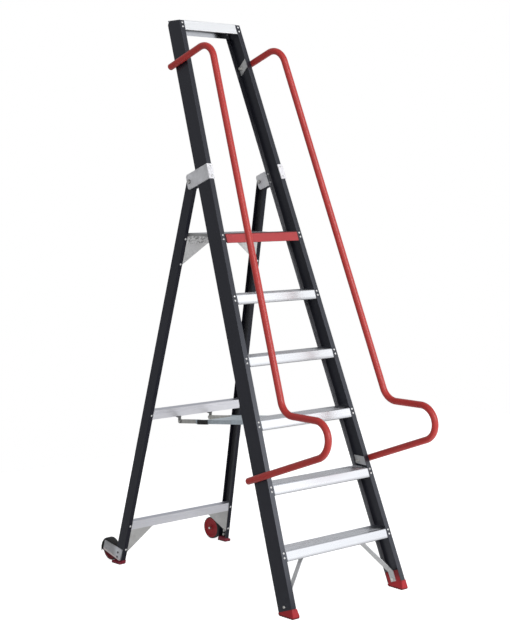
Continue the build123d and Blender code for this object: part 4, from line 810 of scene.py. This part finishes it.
def strap_aluminium(name, base, y0, y1, z0, slope):
    """Rolled strap, lighter toward the leg and in smears, with a pale pink painted highlight and painted reflection of
    the red wheel along its lower edge.
    """
    g = Graph(name)
    cloud = g.noise(22, detail=6, rough=0.65)
    smear = g.noise(45, (1, 0.35, 1), 4, 0.6, 0.6)
    y, z, x = g.axis(g.coord, 1), g.axis(g.coord, 2), g.math("ABSOLUTE", g.axis(g.coord, 0))
    col = g.ramp(cloud, [(0.32, (base * 0.9, base * 0.9, base * 0.92)), (0.68, (base * 1.06, base * 1.06, base * 1.1))])
    lighter_toward_leg = g.math("ADD", g.span(y, 0.85, 0.0, y0, y1), g.span(smear, 0.0, 0.35, 0.52, 0.7))
    col = g.mix(lighter_toward_leg, col, (base * 1.55, base * 1.57, base * 1.64))
    # Along the lower edge: painted highlight, tinted pink as a painted reflection of the red wheel.
    rise = g.math("SUBTRACT", z, g.math("MULTIPLY", g.math("SUBTRACT", y, 0.5666), slope))
    painted_edge_glint = g.math("MULTIPLY", g.span(rise, 1.0, 0.0, z0, z0 + 0.0008), g.span(rise, 0.0, 1.0, z0 - 0.0036, z0 - 0.0028))
    col = g.mix(g.math("MULTIPLY", painted_edge_glint, 0.9), col, (0.98, 0.84, 0.84))
    rough = g.math("SUBTRACT", g.span(cloud, 0.5, 0.6, 0.3, 0.7), g.math("MULTIPLY", painted_edge_glint, 0.15))
    g.set(Base_Color=col, Roughness=rough, Metallic=1.0)
    g.bump(g.noise(480, detail=2), 0.08, 0.0003)
    return g.mat


def spangled(name, base, z0):
    """Galvanised sheet: the spangle shows strongest above z0."""
    g = Graph(name)
    cells = g.voronoi(130, (1, 1, 1.4), out="Color")
    fine = g.noise(170, detail=5, rough=0.7)
    cloud = g.noise(22, detail=6, rough=0.65)
    sep = g.add("ShaderNodeSeparateColor")
    g.link(cells, sep.inputs[0])
    col = g.ramp(cloud, [(0.32, (base * 0.88,) * 3), (0.68, (base * 1.08,) * 3)])
    patch = g.ramp(g.math("ADD", g.math("MULTIPLY", sep.outputs[0], 0.55), g.math("MULTIPLY", fine, 0.5)), [(0.28, (base * 0.36,) * 3), (0.74, (base * 1.15,) * 3)])
    mask = g.span(g.axis(g.coord, 2), 0.06, 0.95, z0 - 0.02, z0 + 0.012)
    g.set(Base_Color=g.mix(mask, col, patch), Roughness=g.span(sep.outputs[1], 0.42, 0.56), Metallic=1.0)
    g.bump(fine, 0.1, 0.0003)
    return g.mat


def black_plastic(name, base, r):
    g = Graph(name)
    spark = g.noise(1000, detail=2)
    cloud = g.noise(14, detail=4)
    col = g.ramp(cloud, [(0.3, (base * 0.8,) * 3), (0.7, (base * 1.3,) * 3)])
    g.set(Base_Color=col, Roughness=g.span(cloud, r - 0.05, r + 0.06, 0.3, 0.7))
    g.bump(spark, 0.18, 0.0003)
    return g.mat


depth0 = (at(0, 0, 0) * MM).dot(N)
M = {
    "black": black_anodised("black_anodised_front", (lam, 0, 0), depth0 + 0.060),
    "black_rear": black_anodised("black_anodised_rear", (-rho, 0, 0), None),
    "tread": bright_aluminium("bright_aluminium", (0.62, 0.63, 0.66), (0.705, 0.715, 0.74), (0.24, 0.34), True, (PITCH * MM, 0.21)),
    "cross": cross_aluminium("cross_aluminium", depth0 + 0.03, depth0 + 0.074, 2.3067),
    "plate": plate_aluminium("plate_aluminium", 0.8, 0.5),
    "gusset": plate_aluminium("gusset_aluminium", 0.54, 0.5, (1.01, 1.0, 0.99)),
    "bracket": plate_aluminium("bracket_aluminium", 0.88, 0.64, (0.99, 0.99, 1.02)),
    "strap": strap_aluminium("strap_aluminium", 0.535, 0.592, 0.618, 0.0176, 0.2769),
    "beam": bright_aluminium("beam_aluminium", (0.68, 0.68, 0.72), (0.78, 0.78, 0.82), (0.38, 0.5), True),
    "top_beam": spangled("top_beam_spangle", 0.58, 1.3),
    "zinc": zinc("zinc"),
    "dull_zinc": zinc("dull_zinc", (0.2, 0.2, 0.2), (0.3, 0.3, 0.3), (0.4, 0.55)),
    "hinge_bolt": bolt_steel("hinge_bolt_steel", (PIVOT_Y - Y_MID) * MM, PIVOT_Z * MM, 0.0072),
    "lug": lug_steel("lug_steel", 0.637),
    "stay": plate_aluminium("stay_zinc", 0.76, 0.5, (0.9, 1.0, 1.07)),
    "rivet": zinc("rivet_aluminium", (0.58, 0.58, 0.58), (0.72, 0.72, 0.72), (0.38, 0.5)),
    "rail": red_coat(),
    "red": foot_plastic("red_plastic", (0.32, 0.011, 0.017), (0.39, 0.015, 0.022), 0.5, 0.0045),
    "rear_red": foot_plastic("rear_foot_red", (0.15, 0.006, 0.018), (0.195, 0.008, 0.024), 0.55, 0.0025),
    # Braces: the right one is a darker copy and the left a lighter, less metallic copy: painted shade and painted
    # light.
    "brace": plate_aluminium("brace_aluminium", 0.58, 0.5, (0.99, 1.0, 1.01)),
    "brace_painted_light": plate_aluminium("brace_aluminium_painted_light", 0.88, 0.5, (0.99, 1.0, 1.01), 0.35),
    "strap_bolt": strap_bolt_steel("strap_bolt_steel", 0.3062),
    "axle": axle_steel("axle_steel", (WHEEL_Y - Y_MID) * MM, WHEEL_Z * MM, 0.0045, 0.29),
    "gusset_top": plate_aluminium("gusset_top_aluminium", 0.61, 0.5),
    # A darker copy of the gusset for the bottom right one: painted shade.
    "gusset_right": plate_aluminium("gusset_right_aluminium", 0.42, 0.5, (1.01, 1.0, 0.99)),
    "bracket_in": plate_aluminium("bracket_inner_aluminium", 0.97, 0.6, (0.99, 0.99, 1.02)),
    "wheel_red": red_plastic("wheel_red", (0.24, 0.0065, 0.0115), (0.305, 0.0085, 0.015), 0.5, ((WHEEL_Y - Y_MID) * MM, WHEEL_Z * MM, 0.0447)),
    "nosing": nosing_plastic("nosing_red", (0.365, 0.042, 0.046), (0.42, 0.05, 0.054), 0.5, 1.4418, 1.4034, 0.199),
    "grey_cap": black_plastic("grey_plastic", 0.33, 0.5),
    "plastic": black_plastic("black_plastic", 0.012, 0.5),
    "rubber": black_plastic("rubber", 0.03, 0.72),
}


def finish_of(n):
    if n.startswith("stile_"):
        return "black"
    if n.startswith("rear_leg_"):
        return "black_rear"
    if n.startswith("top_cross"):
        return "cross"
    if n.startswith(("tread_", "platform_tread", "platform_deck")):
        return "tread"
    if n.startswith("platform_nosing"):
        return "nosing"
    if n.startswith("rear_beam_top"):
        return "top_beam"
    if n.startswith("rear_beam"):
        return "beam"
    if n.startswith("deck_caps"):
        return "grey_cap"
    if n.startswith("stay_lugs"):
        return "lug"
    if n.startswith("hinge_bolts"):
        return "hinge_bolt"
    if n.startswith("stay_ears"):
        return "dull_zinc"
    if n.startswith("wheel_strap"):
        return "strap"
    if n.startswith("wheel_axles"):
        return "axle"
    if n.startswith("hinge_bracket"):
        return "bracket"
    if n.startswith("hinge_inner"):
        return "bracket_in"
    if n.startswith("gusset_top"):
        return "gusset_top"
    if n.startswith("gusset_bottom_right"):
        return "gusset_right"
    if n.startswith("gusset"):
        return "gusset"
    if n.startswith(("stay_channel",)):
        return "stay"
    if n.startswith(("handrail_left", "handrail_right", "handrail_tube")):
        return "rail"
    if n.startswith(("handrail_caps", "handrail_plugs")):
        return "rail"
    if n.startswith(("wheel_left", "wheel_right", "wheel_disc")):
        return "wheel_red"
    if n.startswith("rear_foot"):
        return "rear_red"
    if n.startswith("front_foot"):
        return "red"
    if n.startswith("lower_brace"):
        # The left brace takes the lighter copy: painted light.
        return "brace_painted_light" if n.endswith("left") else "brace"
    if n.startswith("strap_bolts"):
        return "strap_bolt"
    if n.startswith("tyre"):
        return "rubber"
    if n.startswith(("stay_grip", "wheel_guard", "hinge_bushes")):
        return "plastic"
    if n.startswith(("front_rivets", "leg_rivets")):
        return "rivet"
    if n.startswith(("stay_bail", "stay_pin", "lug_pins", "deck_pins", "handrail_bolts", "foot_bolts")):
        return "zinc"
    return "plate"


replaced = {"handrail_left", "handrail_right", "handrail_caps", "front_rivets", "leg_rivets", "foot_bolts", "strap_bolts", "handrail_bolts",
            "wheel_left", "wheel_right", "tyre_left", "tyre_right"}
own = [o for o in scene.collection.all_objects if o.type == "MESH" and o.name not in nodes]
for o in own + list(nodes.values()):
    o.data.materials.clear()
    o.data.materials.append(M[finish_of(o.name)])

EDGE = {"front_foot": 0.0010, "rear_foot": 0.0008, "hinge_bracket": 0.0005, "tread": 0.00035, "platform_deck": 0.00035, "stile": 0.0003, "rear_leg": 0.0003}
for n, o in nodes.items():
    if n in replaced:
        continue
    w = next((v for k, v in EDGE.items() if n.startswith(k)), 0.0004)
    break_edges(o, w)

# ---------------------------------------------------------------------------
# Floor, light
# ---------------------------------------------------------------------------
mesh = bpy.data.meshes.new("floor")
mesh.from_pydata([(-2.6, -4.2, 0), (4.2, -4.2, 0), (4.2, 2.6, 0), (-2.6, 2.6, 0)], [], [(0, 1, 2, 3)])
floor = bpy.data.objects.new("floor", mesh)
scene.collection.objects.link(floor)
fg = Graph("floor_paper")
fg.set(Base_Color=fg.ramp(fg.noise(3), [(0.3, (0.5, 0.5, 0.5)), (0.7, (0.52, 0.52, 0.52))]), Roughness=0.95)
fg.bsdf.inputs["Specular IOR Level"].default_value = 0.1
fg.bsdf.inputs["Emission Color"].default_value = (1, 1, 1, 1)
path = fg.add("ShaderNodeLightPath")
side_glow = fg.span(fg.axis(fg.coord, 0), 0.0, 0.42, -0.55, 0.0)
back_dim = fg.math("MULTIPLY", fg.span(fg.axis(fg.coord, 0), 0.0, 0.24, 0.25, 0.6), fg.span(fg.axis(fg.coord, 1), 0.0, 1.0, -0.15, 0.15))
front_glow = fg.span(fg.axis(fg.coord, 1), 0.0, 0.45, -0.5, -0.75)
front_glow = fg.math("MULTIPLY", front_glow, fg.span(fg.axis(fg.coord, 0), 0.0, 1.0, -0.9, -0.4))
side_glow = fg.math("ADD", fg.math("SUBTRACT", side_glow, back_dim), front_glow)
fg.link(fg.math("MAXIMUM", fg.math("MULTIPLY", path.outputs["Is Camera Ray"], 0.85), side_glow), fg.bsdf.inputs["Emission Strength"])
floor.data.materials.append(fg.mat)

world = bpy.data.worlds.new("studio")
scene.world = world
world.use_nodes = True
wt = world.node_tree
wt.nodes.clear()
w_out = wt.nodes.new("ShaderNodeOutputWorld")
w_mix = wt.nodes.new("ShaderNodeMixShader")
w_path = wt.nodes.new("ShaderNodeLightPath")
w_white = wt.nodes.new("ShaderNodeBackground")
w_light = wt.nodes.new("ShaderNodeBackground")
w_tc = wt.nodes.new("ShaderNodeTexCoord")
w_white.inputs["Color"].default_value = (1, 1, 1, 1)
w_white.inputs["Strength"].default_value = 1.0
w_light.inputs["Color"].default_value = (0.98, 0.99, 1.0, 1)


def sky_map(socket, a, b, lo, hi):
    m = wt.nodes.new("ShaderNodeMapRange")
    m.interpolation_type = "SMOOTHSTEP"
    for i, v in zip(("From Min", "From Max", "To Min", "To Max"), (a, b, lo, hi)):
        m.inputs[i].default_value = v
    wt.links.new(socket, m.inputs["Value"])
    return m.outputs["Result"]


def sky_lobe(direction, a, b, hi):
    d = wt.nodes.new("ShaderNodeVectorMath")
    d.operation = "DOT_PRODUCT"
    d.inputs[1].default_value = Vector(direction).normalized()
    wt.links.new(w_tc.outputs["Generated"], d.inputs[0])
    return sky_map(d.outputs["Value"], a, b, 0.0, hi)


def sky_math(op, a, b):
    m = wt.nodes.new("ShaderNodeMath")
    m.operation = op
    for i, v in enumerate((a, b)):
        if isinstance(v, (int, float)):
            m.inputs[i].default_value = v
        else:
            wt.links.new(v, m.inputs[i])
    return m.outputs[0]


w_xyz = wt.nodes.new("ShaderNodeSeparateXYZ")
wt.links.new(w_tc.outputs["Generated"], w_xyz.inputs[0])
low_band = sky_map(w_xyz.outputs[2], 0.52, 0.30, 0.2, 1.0)
side_box = sky_math("MULTIPLY", sky_lobe((0.66, -0.68, 0.28), 0.79, 0.96, 1.12), low_band)
front_box = sky_lobe((-0.50, -0.82, 0.25), 0.35, 0.90, 0.68)
strip_box = sky_lobe((-0.06, -0.89, 0.45), 0.955, 0.99, 6.5)
back_box = sky_lobe((0.67, 0.72, 0.25), 0.2, 0.9, 0.18)
w_sum = sky_math("ADD", sky_math("ADD", side_box, sky_math("ADD", front_box, strip_box)), sky_math("ADD", back_box, 0.34))
wt.links.new(w_sum, w_light.inputs["Strength"])
wt.links.new(w_path.outputs["Is Camera Ray"], w_mix.inputs["Fac"])
wt.links.new(w_light.outputs[0], w_mix.inputs[1])
wt.links.new(w_white.outputs[0], w_mix.inputs[2])
wt.links.new(w_mix.outputs[0], w_out.inputs["Surface"])


def area(name, loc, target, size, power, color=(1, 1, 1)):
    l = bpy.data.lights.new(name, "AREA")
    l.shape = "RECTANGLE"
    l.size, l.size_y = size
    l.energy = power
    l.color = color
    o = bpy.data.objects.new(name, l)
    scene.collection.objects.link(o)
    o.location = loc
    o.rotation_mode = "QUATERNION"
    o.rotation_quaternion = (Vector(target) - Vector(loc)).to_track_quat("-Z", "Y")
    return o


area("key", (3.0, -4.2, 3.4), (0, 0, 1.2), (2.2, 3.2), 14)

scene.view_settings.view_transform = "Standard"
